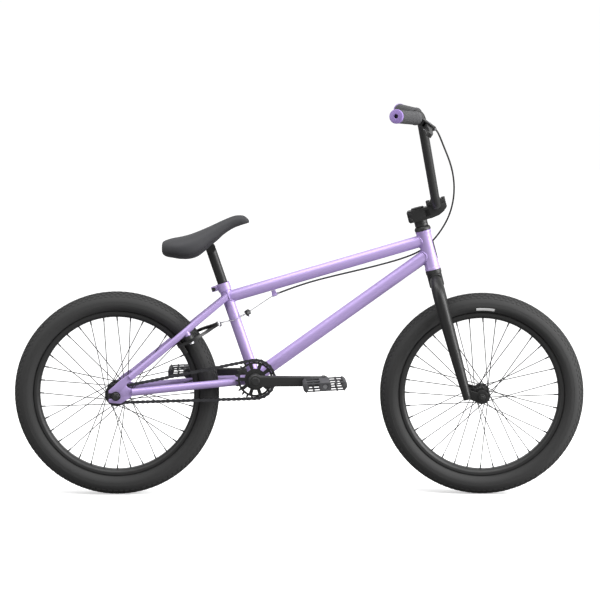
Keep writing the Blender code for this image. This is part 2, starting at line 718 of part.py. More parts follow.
ARM_SPINE = (
    (-0.0370, -0.0350),
    (-0.0405, -0.0175),
    (-0.0435, 0.0000),
    (-0.0425, 0.0150),
    (-0.0350, 0.0315),
    (-0.0150, 0.0455),
    (0.0080, 0.0580),
    (0.0220, 0.0720),
    (0.0245, 0.0820),
)
ARM_WIDTHS = (0.0105, 0.0125, 0.0185, 0.0145, 0.0125, 0.0115, 0.0105, 0.0090, 0.0080)
for side, sign in SIDES:
    low = 0.0004 if side == "right" else -0.0004 - ARM_THICK
    high = low + ARM_THICK
    spine = [(-sign * x, y) for x, y in ARM_SPINE]
    outline = strap_outline(spine, ARM_WIDTHS)
    pivot = (sign * BRAKE_HALF_SPACING, 0.0)
    arm = plate(f"brake_arm_{side}", outline, [circle(0.0043, 14, pivot)], low, high, arm_frame)
    # The pad and its short stem stand on the arm's inner edge, facing the rim's side.
    middle = (low + high) / 2
    pad_point = arm_frame @ Vector((0.0, PAD_BELOW_PIVOT, middle))
    outward = (pad_point - REAR_AXLE).normalized()
    pad_frame = axes_matrix(pad_point, LEFT, LEFT.cross(outward))
    near, far = sorted((sign * PAD_Y, sign * 0.0290))
    pad = box_piece("pad", (near, -0.0045, -0.0240), (far, 0.0045, 0.0240), pad_frame)
    near, far = sorted((sign * 0.0280, sign * 0.0400))
    stem = box_piece("stem", (near, -0.0035, -0.0030), (far, 0.0035, 0.0030), pad_frame)
    combine(arm, stem, "UNION")
    combine(arm, pad, "UNION")
    finish(arm, "black_satin", arm_frame @ Vector((pivot[0], 0.0, 0.0)))

    post_frame = arm_frame @ Matrix.Translation((pivot[0], 0.0, 0.0))
    nut = high + 0.0003
    profile = [
        (0.0075, -0.0215),
        (0.0075, low - 0.0003),
        (0.0040, low - 0.0003),
        (0.0040, nut),
        (0.0068, nut),
        (0.0068, nut + 0.0045),
    ]
    post = turned_bar(f"brake_post_{side}", profile, 12, post_frame)
    behind = [p for p in stay_paths[side] if p.x < BRAKE_PIVOT.x - 0.0144][-1]
    ahead = stay_paths[side][stay_paths[side].index(behind) + 1]
    stay_frame = axes_matrix(behind, LEFT, ahead - behind)
    combine(post, turned_bar("cope", [(0.0088, -0.05), (0.0088, 0.09)], 16, stay_frame), "DIFFERENCE")
    finish(post, "lilac_paint", post_frame.translation)

CABLE_STOP = Vector((-0.0653, 0.0, 0.5089))
YOKE = Vector((-0.1330, 0.0, 0.4630))
pull_way = (CABLE_STOP - YOKE).normalized()
yoke_frame = axes_matrix(YOKE, LEFT, LEFT.cross(pull_way))
yoke_outline = [
    (-0.0125, -0.0060),
    (0.0125, -0.0060),
    (0.0130, -0.0010),
    (0.0050, 0.0080),
    (-0.0050, 0.0080),
    (-0.0130, -0.0010),
]
yoke = plate("yoke", yoke_outline, [circle(0.0022, 12, (0.0, 0.0015))], -0.0030, 0.0030, yoke_frame)
yoke_pull_sign = (yoke_frame @ Vector((0.0, 1.0, 0.0)) - YOKE).dot(pull_way)
finish(yoke, "black_satin", YOKE)

WIRE_R = 0.0009
tip_right = arm_frame @ Vector((0.0246, 0.0838, 0.0040))
tip_left = arm_frame @ Vector((-0.0246, 0.0838, -0.0040))
beside = BOTTOM_BRACKET + seat_up * 0.1560
straddle_knots = [
    tip_right,
    Vector((beside.x - 0.004, 0.0172, beside.z - 0.002)),
    yoke_frame @ Vector((0.0118, -0.0085 * yoke_pull_sign, 0.0)),
    yoke_frame @ Vector((-0.0118, -0.0085 * yoke_pull_sign, 0.0)),
    Vector((beside.x - 0.004, -0.0172, beside.z - 0.002)),
    tip_left,
]
straddle_path = rounded_path(straddle_knots, [0.020, 0.004, 0.004, 0.020], 2)
straddle = cord_piece("straddle_wire", straddle_path, WIRE_R, 5)
finish(straddle, "steel", straddle_knots[0])
wire_start = CABLE_STOP - pull_way * 0.0075
wire_end = YOKE + pull_way * 0.0086
wire_path = [wire_start, wire_start.lerp(wire_end, 0.5), wire_end]
finish(cord_piece("brake_cable", wire_path, WIRE_R, 6), "steel", CABLE_STOP)

# The stop hangs under the top tube: a barrel for the housing's end on a short web.
housing_way = Vector((0.0177, 0.0, 0.0066)).normalized()
stop_frame = axes_matrix(CABLE_STOP, LEFT, housing_way)
stop = turned_bar("cable_stop", [(0.0045, -0.0065), (0.0045, 0.0065)], 16, stop_frame)
top_normal = Vector((-top_way.z, 0.0, top_way.x))
stop_height = (TOP_TUBE_REAR - CABLE_STOP).dot(top_normal) - TOP_TUBE_R - 0.0008
web_frame = axes_matrix(CABLE_STOP, top_way, top_normal)
combine(stop, box_piece("web", (-0.0055, -0.0022, 0.0), (0.0055, 0.0022, stop_height), web_frame), "UNION")
combine(stop, turned_bar("bore", [(0.0015, -0.010), (0.0015, 0.010)], 12, stop_frame), "DIFFERENCE")
combine(stop, turned_bar("socket", [(0.0030, -0.0015), (0.0030, 0.010)], 14, stop_frame), "DIFFERENCE")
finish(stop, "lilac_paint", CABLE_STOP)

# ---------------------------------------------------------------- fork
HEAD_TOP = HEAD_LENGTH
STEM_LOW = HEAD_TOP + 0.0265
STEM_HIGH = STEM_LOW + 0.0300
LEG_KNOTS = (
    (0.0000, 0.0120, -0.0260),
    (0.0000, 0.0290, -0.0370),
    (0.0000, 0.0455, -0.0540),
    (0.0000, 0.0525, -0.0800),
    (0.0005, 0.0530, -0.1400),
    (0.0020, 0.0530, -0.2400),
    (0.0040, 0.0530, -0.3350),
)
LEG_RADII = (0.0145, 0.0155, 0.0160, 0.0160, 0.0153, 0.0130, 0.0100)
FRONT_AXLE = Vector((FORK_OFFSET, 0.0, -AXLE_BELOW_HEAD))


def spread_radii(radii, count):
    """Radii along a path of count points, read evenly from the few given."""
    found = []
    for i in range(count):
        place = (len(radii) - 1) * i / (count - 1)
        k = min(int(place), len(radii) - 2)
        found.append(radii[k] + (radii[k + 1] - radii[k]) * (place - k))
    return found


fork = turned_bar("fork", [(STEERER_R, -0.030), (STEERER_R, STEM_HIGH - 0.002)], 20)
combine(fork, turned_bar("lug", [(0.0165, -0.0445), (0.0188, -0.0400), (0.0188, -0.0125)], 20), "UNION")
leg_cores = []
for side, sign in SIDES:
    knots = [Vector((n, sign * y, s)) for n, y, s in LEG_KNOTS]
    path = smooth_path(knots, 10)
    radii = spread_radii(LEG_RADII, 10)
    rings, _ = rings_along(path, radii, 12, Vector((1, 0, 0)))
    combine(fork, loft("leg", rings), "UNION")
    core, _ = rings_along(path[:-1], [r - 0.0026 for r in radii[:-1]], 8, Vector((1, 0, 0)))
    leg_cores.append(loft("core", core))
    boss = arc((FORK_OFFSET, -AXLE_BELOW_HEAD), 0.0160, 125, -68, 7)
    slot_right = [(FORK_OFFSET + 0.0052, -AXLE_BELOW_HEAD - 0.0152)]
    slot = arc((FORK_OFFSET, -AXLE_BELOW_HEAD), 0.0052, 0, 180, 5)
    slot_left = [(FORK_OFFSET - 0.0052, -AXLE_BELOW_HEAD - 0.0152)]
    back = [(0.0240, -0.3460), (0.0040, -0.3330), (0.0040, -0.3080)]
    low, high = sorted((-sign * FRONT_DROPOUT_Y, -sign * (FRONT_DROPOUT_Y + DROPOUT_THICK)))
    outline = boss + slot_right + slot + slot_left + back
    blade = plate("blade", outline, [], low, high, side_plane(Vector((0, 0, 0))))
    combine(fork, blade, "UNION")
combine(fork, turned_bar("bore", [(0.0118, -0.0300), (0.0118, STEM_HIGH + 0.01)], 16), "DIFFERENCE")
for core in leg_cores:
    combine(fork, core, "DIFFERENCE")
finish(fork, "black_paint", HEAD_BOTTOM, steer_frame)

front_axle_point = steer_frame @ FRONT_AXLE
front_axle_frame = axes_matrix(front_axle_point, Vector((1, 0, 0)), steer_frame.to_3x3() @ LEFT)
outside = FRONT_DROPOUT_Y + DROPOUT_THICK + 0.0003
axle_profile = [
    (0.0046, -0.0700),
    (0.0046, -outside - 0.0080),
    (0.0088, -outside - 0.0080),
    (0.0100, -outside - 0.0065),
    (0.0100, -outside),
    (0.0046, -outside),
]
axle_profile = axle_profile + [(r, -h) for r, h in reversed(axle_profile)]
finish(turned_bar("front_axle", axle_profile, 12, front_axle_frame), "black_satin", front_axle_point)

lower_profile = [
    (0.0200, -0.0004),
    (0.0200, -0.0090),
    (0.0190, -0.0120),
    (0.0149, -0.0120),
    (0.0149, -0.0004),
]
finish(turned_ring("headset_lower", lower_profile, 18, straight_frame), "black_satin", HEAD_BOTTOM)
cover_profile = [
    (0.0147, HEAD_TOP + 0.0004),
    (0.0206, HEAD_TOP + 0.0004),
    (0.0206, HEAD_TOP + 0.0060),
    (0.0185, HEAD_TOP + 0.0100),
    (0.0160, HEAD_TOP + 0.0115),
    (0.0160, STEM_LOW - 0.0004),
    (0.0147, STEM_LOW - 0.0004),
]
finish(turned_ring("headset_top_cover", cover_profile, 18, steer_frame), "black_satin", HEAD_BOTTOM)

# ---------------------------------------------------------------- stem
BAR_N = 0.0486
BAR_S = 0.1595
STEM_HALF_WIDTH = 0.0240
stem_outline = [
    (-0.0290, STEM_LOW),
    (0.0300, STEM_LOW),
    (0.0500, STEM_LOW + 0.0030),
    (0.0640, STEM_LOW + 0.0100),
    (0.0735, STEM_LOW + 0.0190),
    (0.0735, BAR_S - 0.0010),
    (0.0320, BAR_S - 0.0010),
    (0.0290, STEM_HIGH),
    (-0.0290, STEM_HIGH),
]
stem = plate("stem", stem_outline, [], -STEM_HALF_WIDTH, STEM_HALF_WIDTH, side_plane(Vector((0, 0, 0))))
bar_axis_frame = axes_matrix((BAR_N, 0, BAR_S), Vector((1, 0, 0)), LEFT)
bar_bore_profile = [(BAR_R + GAP, -0.03), (BAR_R + GAP, 0.03)]
steerer_bore_profile = [(STEERER_R + GAP, STEM_LOW - 0.01), (STEERER_R + GAP, STEM_HIGH + 0.01)]
combine(stem, turned_bar("bar_bore", bar_bore_profile, 20, bar_axis_frame), "DIFFERENCE")
combine(stem, turned_bar("steerer_bore", steerer_bore_profile, 20), "DIFFERENCE")
combine(stem, box_piece("split", (-0.040, -0.0012, 0.0), (-0.010, 0.0012, 0.2)), "DIFFERENCE")
finish(stem, "black_satin", HEAD_BOTTOM, steer_frame)

cap_outline = [
    (0.0240, BAR_S + 0.0010),
    (0.0735, BAR_S + 0.0010),
    (0.0735, BAR_S + 0.0080),
    (0.0640, BAR_S + 0.0100),
    (0.0570, BAR_S + 0.0165),
    (0.0400, BAR_S + 0.0165),
    (0.0330, BAR_S + 0.0100),
    (0.0240, BAR_S + 0.0080),
]
middle_plane = side_plane(Vector((0, 0, 0)))
cap = plate("stem_clamp_plate", cap_outline, [], -STEM_HALF_WIDTH, STEM_HALF_WIDTH, middle_plane)
combine(cap, turned_bar("bar_bore", bar_bore_profile, 20, bar_axis_frame), "DIFFERENCE")
finish(cap, "black_satin", steer_frame @ Vector((BAR_N, 0, BAR_S)), steer_frame)
top_cap_profile = [
    (0.0150, STEM_HIGH + 0.0004),
    (0.0165, STEM_HIGH + 0.0012),
    (0.0160, STEM_HIGH + 0.0040),
    (0.0050, STEM_HIGH + 0.0046),
]
finish(turned_bar("stem_top_cap", top_cap_profile, 20, steer_frame), "black_satin", HEAD_BOTTOM)

# ---------------------------------------------------------------- handlebar and grips
BEND = Vector((0.0660, 0.1830, 0.3795))
BAR_TIP = Vector((0.0125, 0.3570, 0.4040))
grip_way = (BAR_TIP - BEND).normalized()
half_corners = [Vector((BAR_N, 0.0, BAR_S)), Vector((BAR_N, 0.0720, BAR_S)), BEND, BEND + grip_way * 0.1780]
half = rounded_path(half_corners, [0.045, 0.042], 4)[1:]
bar_path = [Vector((p.x, -p.y, p.z)) for p in reversed(half)] + half
outer, _ = rings_along(bar_path, [BAR_R] * len(bar_path), 12, Vector((1, 0, 0)))
handlebar = loft("handlebar", outer)
cross_share = 0.50
cross_point = Vector((BAR_N, 0.0720, BAR_S)).lerp(BEND, cross_share)
cross_frame = axes_matrix((cross_point.x, 0.0, cross_point.z), Vector((1, 0, 0)), LEFT)
cross_profile = [(0.0080, -cross_point.y), (0.0080, cross_point.y)]
combine(handlebar, turned_bar("cross", cross_profile, 12, cross_frame), "UNION")
inner, _ = rings_along(bar_path, [BAR_R - 0.0016] * len(bar_path), 8, Vector((1, 0, 0)))
first_way = (inner[0][0] - inner[1][0]).normalized()
last_way = (inner[-1][0] - inner[-2][0]).normalized()
inner[0] = [p + first_way * 0.004 for p in inner[0]]
inner[-1] = [p + last_way * 0.004 for p in inner[-1]]
combine(handlebar, loft("core", inner), "DIFFERENCE")
finish(handlebar, "black_satin", steer_frame @ Vector((BAR_N, 0, BAR_S)), steer_frame)

GRIP_START = 0.0420
GRIP_END = 0.1785
for side, sign in SIDES:
    way = Vector((grip_way.x, sign * grip_way.y, grip_way.z))
    base = Vector((BEND.x, sign * BEND.y, BEND.z))
    grip_frame = steer_frame @ axes_matrix(base, Vector((0, 0, 1)), way)
    grip_profile = [
        (BAR_R + GAP, GRIP_START),
        (0.0168, GRIP_START),
        (0.0168, GRIP_START + 0.0035),
        (0.0154, GRIP_START + 0.0045),
        (0.0160, GRIP_END),
        (BAR_R + GAP, GRIP_END),
    ]
    finish(turned_ring(f"grip_{side}", grip_profile, 16, grip_frame), "grip_rubber", grip_frame.translation)
    plug_profile = [
        (0.0085, GRIP_END - 0.0180),
        (0.0085, GRIP_END + 0.0004),
        (0.0168, GRIP_END + 0.0004),
        (0.0168, GRIP_END + 0.0062),
        (0.0155, GRIP_END + 0.0078),
        (0.0052, GRIP_END + 0.0078),
        (0.0052, GRIP_END - 0.0180),
    ]
    plug = turned_ring(f"bar_end_{side}", plug_profile, 16, grip_frame)
    finish(plug, "purple_plastic", grip_frame @ Vector((0, 0, GRIP_END)))

# ---------------------------------------------------------------- brake lever, on the right
way = Vector((grip_way.x, -grip_way.y, grip_way.z))
lever_base = Vector((BEND.x, -BEND.y, BEND.z)) + way * 0.0320
lever_out = Vector((0.669, 0.0, -0.743))
lever_out = (lever_out - lever_out.dot(way) * way).normalized()
lever_frame = steer_frame @ axes_matrix(lever_base, way, way.cross(lever_out))
LEVER_PIVOT = (0.0010, 0.0320)


def along_bar(name, profile, sides, out):
    """A turned bar about a line beside the handlebar, at a distance out from its axis."""
    line = axes_matrix((0.0, out, 0.0), Vector((0, 0, 1)), Vector((1, 0, 0)))
    return turned_bar(name, profile, sides, line)


bracket = along_bar("lever_bracket", [(0.0158, -0.0080), (0.0158, 0.0080)], 16, 0.0)
combine(bracket, box_piece("block", (-0.0125, 0.0122, -0.0088), (0.0092, 0.0480, 0.0088)), "UNION")
barrel_profile = [(0.0036, -0.0330), (0.0042, -0.0320), (0.0042, -0.0100)]
combine(bracket, along_bar("barrel", barrel_profile, 14, 0.0430), "UNION")
combine(bracket, box_piece("slot", (-0.0075, 0.0220, -0.0056), (0.0300, 0.0600, 0.0056)), "DIFFERENCE")
pin_frame = axes_matrix((LEVER_PIVOT[0], LEVER_PIVOT[1], 0.0), Vector((1, 0, 0)), Vector((0, 0, 1)))
combine(bracket, turned_bar("pin", [(0.0027, -0.0100), (0.0027, 0.0100)], 20, pin_frame), "UNION")
combine(bracket, along_bar("bore", [(BAR_R + GAP, -0.02), (BAR_R + GAP, 0.02)], 16, 0.0), "DIFFERENCE")
combine(bracket, along_bar("socket", [(0.0030, -0.0400), (0.0030, -0.0200)], 12, 0.0430), "DIFFERENCE")
finish(bracket, "black_satin", lever_frame.translation, lever_frame)

lever_outline = arc(LEVER_PIVOT, 0.0072, 185, 320, 6)
lever_outline += [(0.0160, 0.0335), (0.0300, 0.0415), (0.0480, 0.0520), (0.0660, 0.0625), (0.0760, 0.0670)]
lever_outline += arc((0.0830, 0.0720), 0.0068, -110, 135, 7)
lever_outline += [(0.0700, 0.0750), (0.0560, 0.0685), (0.0380, 0.0590), (0.0220, 0.0505), (0.0100, 0.0480)]
lever_outline += [(0.0020, 0.0480), (-0.0040, 0.0455), (-0.0052, 0.0390)]
lever = plate("brake_lever", lever_outline, [circle(0.00278, 20, LEVER_PIVOT)], -0.0050, 0.0050)
finish(lever, "black_satin", lever_frame @ Vector((*LEVER_PIVOT, 0.0)), lever_frame)

# The housing runs from the lever in a free arc ahead of the bars, past the left of the head tube
# and under the top tube to the stop.
HOUSING_R = 0.0024
housing_knots = [
    lever_frame @ Vector((-0.0240, 0.0430, 0.0)),
    lever_frame @ Vector((-0.0360, 0.0430, 0.0)),
    Vector((0.3245, -0.1810, 0.9235)),
    Vector((0.3325, -0.1620, 0.9090)),
    Vector((0.3420, -0.1440, 0.8890)),
    Vector((0.3540, -0.1230, 0.8650)),
    Vector((0.3672, -0.1000, 0.8433)),
    Vector((0.3781, -0.0700, 0.8085)),
    Vector((0.3833, -0.0450, 0.7763)),
    Vector((0.3827, -0.0220, 0.7439)),
    Vector((0.3767, -0.0020, 0.7112)),
    Vector((0.3653, 0.0130, 0.6842)),
    Vector((0.3440, 0.0255, 0.6500)),
    Vector((0.3223, 0.0262, 0.6287)),
    Vector((0.3010, 0.0215, 0.6130)),
    Vector((0.2522, 0.0110, 0.5960)),
    Vector((0.1758, 0.0030, 0.5770)),
    Vector((0.0708, 0.0000, 0.5545)),
    Vector((0.0337, 0.0000, 0.5443)),
    Vector((-0.0099, 0.0000, 0.5306)),
    CABLE_STOP + housing_way * 0.0250,
    CABLE_STOP + housing_way * 0.0010,
]
housing = cord_piece("brake_housing", smooth_path(housing_knots, 56), HOUSING_R, 5)
finish(housing, "cable_housing", CABLE_STOP)

# ---------------------------------------------------------------- wheels
RIM_SIDES = 36


def make_wheel(which, frame, bore, flange_r, shell_r, left_end, right_end):
    """Tyre, rim, two sets of spokes and hub of one wheel, in a frame whose Z is the axle."""
    centre = frame.translation
    half = [
        (0.2035, 0.0108),
        (0.2095, 0.0130),
        (0.2175, 0.0252),
        (0.2300, TYRE_HALF_WIDTH),
        (0.2460, 0.0215),
        (0.2555, 0.0105),
    ]
    inside = [(0.2075, 0.0075), (0.2235, 0.0228)]
    profile = half + [(WHEEL_RADIUS, 0.0)] + [(r, -y) for r, y in reversed(half)]
    profile += [(r, -y) for r, y in inside] + [(0.2520, 0.0)] + [(r, y) for r, y in reversed(inside)]
    finish(turned_ring(f"{which}_tyre", profile, RIM_SIDES, frame), "tyre_rubber", centre, angle=60)
    half = [
        (RIM_INNER_RADIUS, 0.0105),
        (0.2015, RIM_HALF_WIDTH),
        (RIM_OUTER_RADIUS, RIM_HALF_WIDTH),
        (RIM_OUTER_RADIUS, 0.0141),
        (0.1990, 0.0105),
    ]
    profile = half + [(r, -y) for r, y in reversed(half)]
    finish(turned_ring(f"{which}_rim", profile, RIM_SIDES, frame), "black_satin", centre)
    profile = [
        (bore, left_end),
        (bore + 0.0045, left_end),
        (bore + 0.0060, 0.0370),
        (flange_r, 0.0350),
        (flange_r, 0.0315),
        (shell_r, 0.0260),
        (shell_r - 0.0010, 0.0),
        (shell_r, -0.0260),
        (flange_r, -0.0315),
        (flange_r, -0.0350),
        (bore + 0.0060, -0.0370),
        (bore + 0.0045, right_end),
        (bore, right_end),
    ]
    finish(turned_ring(f"{which}_hub", profile, 14, frame), "black_satin", centre)
    for side, sign in SIDES:
        finish(spoke_set(f"{which}_spokes_{side}", sign, flange_r), "chain_steel", centre, frame)


def spoke_set(name, sign, flange_r):
    """The spokes of one side, crossing three others, rooted in a thin ring round the hub flange."""
    inner_r = flange_r + 0.0005
    outer_r = flange_r + 0.0020
    rows = (0.0304, 0.0323, 0.0342, 0.0361)
    points, faces = [], []
    shift = 0.5 if sign > 0 else 0.0    # the left spokes stand between the right ones at the rim
    for i in range(SPOKES_PER_SIDE):
        turn = 2 * math.pi * (i + shift) / SPOKES_PER_SIDE
        for radius in (inner_r, outer_r):
            for y in rows:
                points.append(Vector((radius * math.cos(turn), radius * math.sin(turn), y)))
    for i in range(SPOKES_PER_SIDE):
        a = i * 8
        b = ((i + 1) % SPOKES_PER_SIDE) * 8
        faces.append((a, a + 3, b + 3, b))
        faces.append((a, a + 4, b + 4, b))
        faces.append((a + 3, a + 7, b + 7, b + 3))
        rooted = 0 if i % 2 else 2
        for row in range(3):
            if row != rooted:
                faces.append((a + 4 + row, a + 5 + row, b + 5 + row, b + 4 + row))
        corners = (a + 4 + rooted, a + 5 + rooted, b + 5 + rooted, b + 4 + rooted)
        lean = 1 if rooted == 0 else -1
        middle = sum((points[c] for c in corners), Vector()) / 4
        turn = math.atan2(middle.y, middle.x) + lean * math.radians(60)
        far_y = 0.0028 if rooted == 0 else 0.0052
        far_r = RIM_INNER_RADIUS - 0.0006
        far = Vector((far_r * math.cos(turn), far_r * math.sin(turn), far_y))
        way = (far - middle).normalized()
        across = way.cross(Vector((0, 0, 1))).normalized() * 0.0009
        height = Vector((0, 0, 0.0009))
        start = middle + way * 0.014
        previous = corners
        for spot in (start, far):
            base = len(points)
            same_side = across.dot(points[corners[0]] - points[corners[3]]) > 0
            side_step = across if same_side else -across
            points.append(spot + side_step - height)
            points.append(spot + side_step + height)
            points.append(spot - side_step + height)
            points.append(spot - side_step - height)
            new = (base, base + 1, base + 2, base + 3)
            for j in range(4):
                k = (j + 1) % 4
                faces.append((previous[j], previous[k], new[k], new[j]))
            previous = new
        faces.append(previous)
    points = [Vector((p.x, p.y, p.z * sign)) for p in points]
    return solid(name, points, faces)


rear_wheel_frame = rear_axle_frame
make_wheel("rear", rear_wheel_frame, 0.0072, 0.0290, 0.0190, 0.0515, -0.0400)
make_wheel("front", front_axle_frame, 0.0051, 0.0215, 0.0150, 0.0465, -0.0465)

# ---------------------------------------------------------------- cranks and pedals
crank_profile = [
    (0.0095, -0.0915),
    (0.0095, -0.0675),
    (0.0160, -0.0675),
    (0.0160, -0.0472),
    (0.0125, -0.0472),
    (0.0125, -0.0375),
    (0.0095, -0.0375),
    (0.0095, 0.0375),
    (0.0125, 0.0375),
    (0.0125, 0.0675),
    (0.0095, 0.0675),
    (0.0095, 0.0915),
]
finish(turned_bar("spindle", crank_profile, 14, bb_frame), "black_satin", BOTTOM_BRACKET)
CRANK_HALF_THICK = 0.0100
PEDAL_TILT = math.radians(3.5)
for side, sign in SIDES:
    ahead = -sign
    outline = capsule((0.0, 0.0), 0.0172, (ahead * CRANK_LENGTH, 0.0), 0.0143)
    holes = [circle(0.0099, 18), circle(0.0074, 14, (ahead * CRANK_LENGTH, 0.0))]
    low, high = sorted((-sign * (CRANK_Y - CRANK_HALF_THICK), -sign * (CRANK_Y + CRANK_HALF_THICK)))
    arm = plate(f"crank_arm_{side}", outline, holes, low, high, side_plane(BOTTOM_BRACKET))
    finish(arm, "black_satin", BOTTOM_BRACKET)
    pedal_point = BOTTOM_BRACKET + Vector((ahead * CRANK_LENGTH, sign * PEDAL_Y, 0.0))
    pedal_frame = axes_matrix(pedal_point, Vector((math.cos(PEDAL_TILT), 0, math.sin(PEDAL_TILT))), LEFT)
    profile = [
        (0.0070, -PEDAL_Y + 0.0690),
        (0.0070, -PEDAL_Y + CRANK_Y + 0.0104),
        (0.0095, -PEDAL_Y + CRANK_Y + 0.0104),
        (0.0095, -0.0474),
        (0.0052, -0.0470),
        (0.0052, 0.0440),
    ]
    profile = [(r, h * sign) for r, h in profile]
    finish(turned_bar(f"pedal_axle_{side}", profile, 14, pedal_frame), "steel", pedal_point)

    # The pedal: end plates, a middle rib and a boss, with four wells from top to bottom.
    outline = [
        (-0.0535, -0.0060),
        (-0.0500, -0.0105),
        (0.0480, -0.0105),
        (0.0535, -0.0030),
        (0.0535, 0.0060),
        (0.0495, 0.0105),
        (-0.0490, 0.0105),
        (-0.0535, 0.0060),
    ]
    outline = [(x, -y) for x, y in outline]
    pedal = plate(f"pedal_{side}", outline, [circle(0.0057, 16)], -0.0465, 0.0465)
    for x in (-0.0365, -0.0200, 0.0200, 0.0365):
        for y in (-0.0048, 0.0052):
            window = box_piece("window", (x - 0.0060, y - 0.0024, -0.06), (x + 0.0060, y + 0.0024, 0.06))
            combine(pedal, window, "DIFFERENCE")
    for x in (-0.0285, 0.0285):
        for y in (-0.0240, 0.0240):
            well = box_piece("well", (x - 0.0165, -0.02, y - 0.0175), (x + 0.0165, 0.02, y + 0.0175))
            combine(pedal, well, "DIFFERENCE")
    finish(pedal, "black_plastic", pedal_point, pedal_frame)

# ---------------------------------------------------------------- seat post and saddle
post_top = SEAT_TUBE_TOP + seat_up * 0.0935
post_frame = axes_matrix(post_top, LEFT.cross(seat_up), seat_up)
head_frame = axes_matrix(post_top, Vector((1, 0, 0)), LEFT)
post = turned_bar("seat_post", [(SEAT_POST_R, -0.1885), (SEAT_POST_R, -0.004)], 20, post_frame)
combine(post, turned_bar("head", [(0.0125, -0.0125), (0.0125, 0.0125)], 20, head_frame), "UNION")
post_bore_profile = [(SEAT_POST_R - 0.0022, -0.20), (SEAT_POST_R - 0.0022, -0.020)]
combine(post, turned_bar("bore", post_bore_profile, 16, post_frame), "DIFFERENCE")
finish(post, "black_satin", SEAT_TUBE_TOP)

SADDLE_STATIONS = (
    # X, top Z, bottom Z, half width
    (-0.3480, 0.6340, 0.6230, 0.0330),
    (-0.3440, 0.6405, 0.6140, 0.0440),
    (-0.3350, 0.6462, 0.6068, 0.0540),
    (-0.3220, 0.6503, 0.6018, 0.0610),
    (-0.3020, 0.6540, 0.5988, 0.0655),
    (-0.2800, 0.6597, 0.5990, 0.0645),
    (-0.2600, 0.6670, 0.6045, 0.0590),
    (-0.2425, 0.6745, 0.6170, 0.0515),
    (-0.2260, 0.6818, 0.6320, 0.0440),
    (-0.2100, 0.6895, 0.6450, 0.0375),
    (-0.1950, 0.6965, 0.6590, 0.0320),
    (-0.1779, 0.7037, 0.6712, 0.0265),
    (-0.1629, 0.7082, 0.6790, 0.0232),
    (-0.1455, 0.7083, 0.6853, 0.0195),
    (-0.1350, 0.7020, 0.6885, 0.0150),
    (-0.1300, 0.6955, 0.6905, 0.0085),
)
rings = []
for x, top, bottom, half_width in SADDLE_STATIONS:
    ring = []
    for i in range(16):
        turn = 2 * math.pi * i / 16
        across = math.cos(turn)
        rise = math.sin(turn)
        y = half_width * math.copysign(abs(across) ** 0.75, across)
        z = (top + bottom) / 2 + (top - bottom) / 2 * math.copysign(abs(rise) ** 0.75, rise)
        ring.append(Vector((x, y, z)))
    rings.append(ring)
saddle = loft("saddle", rings)
combine(saddle, turned_bar("neck", [(0.0172, -0.0135), (0.0185, 0.0200)], 20, post_frame), "UNION")
combine(saddle, turned_bar("pocket", [(0.0132, -0.0131), (0.0132, 0.0131)], 24, head_frame), "DIFFERENCE")
# The slot widens downwards, so that the saddle can tilt about the post's head.
fan = [(0.0131, 0.0), (-0.0131, 0.0), (-0.0235, -0.045), (0.0235, -0.045)]
fan_frame = post_frame @ Matrix(((1, 0, 0, 0), (0, 0, -1, 0), (0, 1, 0, 0), (0, 0, 0, 1)))
combine(saddle, plate("fan", fan, [], -0.0131, 0.0131, fan_frame), "DIFFERENCE")
finish(saddle, "seat_cover", post_top)
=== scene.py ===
"""The looks of a lilac BMX bike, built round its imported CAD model.

Axes are the model's: +X ahead, +Y to the rider's left, +Z up, in metres, with the ground at Z = 0.
"""

import json
import math

import bmesh
import bpy
from mathutils import Matrix, Vector
from mathutils.geometry import tessellate_polygon


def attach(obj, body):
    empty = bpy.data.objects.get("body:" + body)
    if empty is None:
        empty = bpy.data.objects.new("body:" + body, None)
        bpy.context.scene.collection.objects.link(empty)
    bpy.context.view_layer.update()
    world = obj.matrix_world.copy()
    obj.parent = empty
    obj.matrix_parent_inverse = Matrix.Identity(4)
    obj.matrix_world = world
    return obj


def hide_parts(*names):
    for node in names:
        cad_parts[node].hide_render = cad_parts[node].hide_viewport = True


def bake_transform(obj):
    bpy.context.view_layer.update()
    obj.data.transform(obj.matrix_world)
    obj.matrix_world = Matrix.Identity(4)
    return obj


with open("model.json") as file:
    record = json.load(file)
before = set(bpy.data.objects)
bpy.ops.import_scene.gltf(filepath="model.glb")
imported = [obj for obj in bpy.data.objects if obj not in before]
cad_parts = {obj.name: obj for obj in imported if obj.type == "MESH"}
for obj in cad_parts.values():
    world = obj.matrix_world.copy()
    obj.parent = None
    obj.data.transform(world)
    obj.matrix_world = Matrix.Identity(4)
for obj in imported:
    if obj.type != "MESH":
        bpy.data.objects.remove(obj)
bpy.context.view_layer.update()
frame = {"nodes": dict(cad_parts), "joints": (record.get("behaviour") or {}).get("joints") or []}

# ---------------------------------------------------------------- driving sizes, in metres
UP = Vector((0.0, 0.0, 1.0))
LEFT = Vector((0.0, 1.0, 0.0))
SIDES = (("right", -1), ("left", 1))
JOINTS = {joint["name"]: joint for joint in frame["joints"]}
WHEEL_RADIUS = 0.258
RIM_INNER_RADIUS = 0.194
RIM_OUTER_RADIUS = 0.2085
RIM_HALF_WIDTH = 0.0165
REAR_AXLE = Vector(JOINTS["rear_wheel_spin"]["pos_m"])
FRONT_AXLE = Vector(JOINTS["front_wheel_spin"]["pos_m"])
BOTTOM_BRACKET = Vector(JOINTS["crank_spin"]["pos_m"])
HEAD_BOTTOM = Vector(JOINTS["steering"]["pos_m"])
STEERING_UP = Vector(JOINTS["steering"]["axis"])
PITCH = 0.0127
SPROCKET_TEETH = 24
DRIVER_TEETH = 9
CHAIN_LINKS = 72
CHAIN_LINE = -0.045
CRANK_LENGTH = 0.17
CRANK_Y = 0.078
PEDAL_Y = 0.1365
REST_STEER = math.radians(5.5)
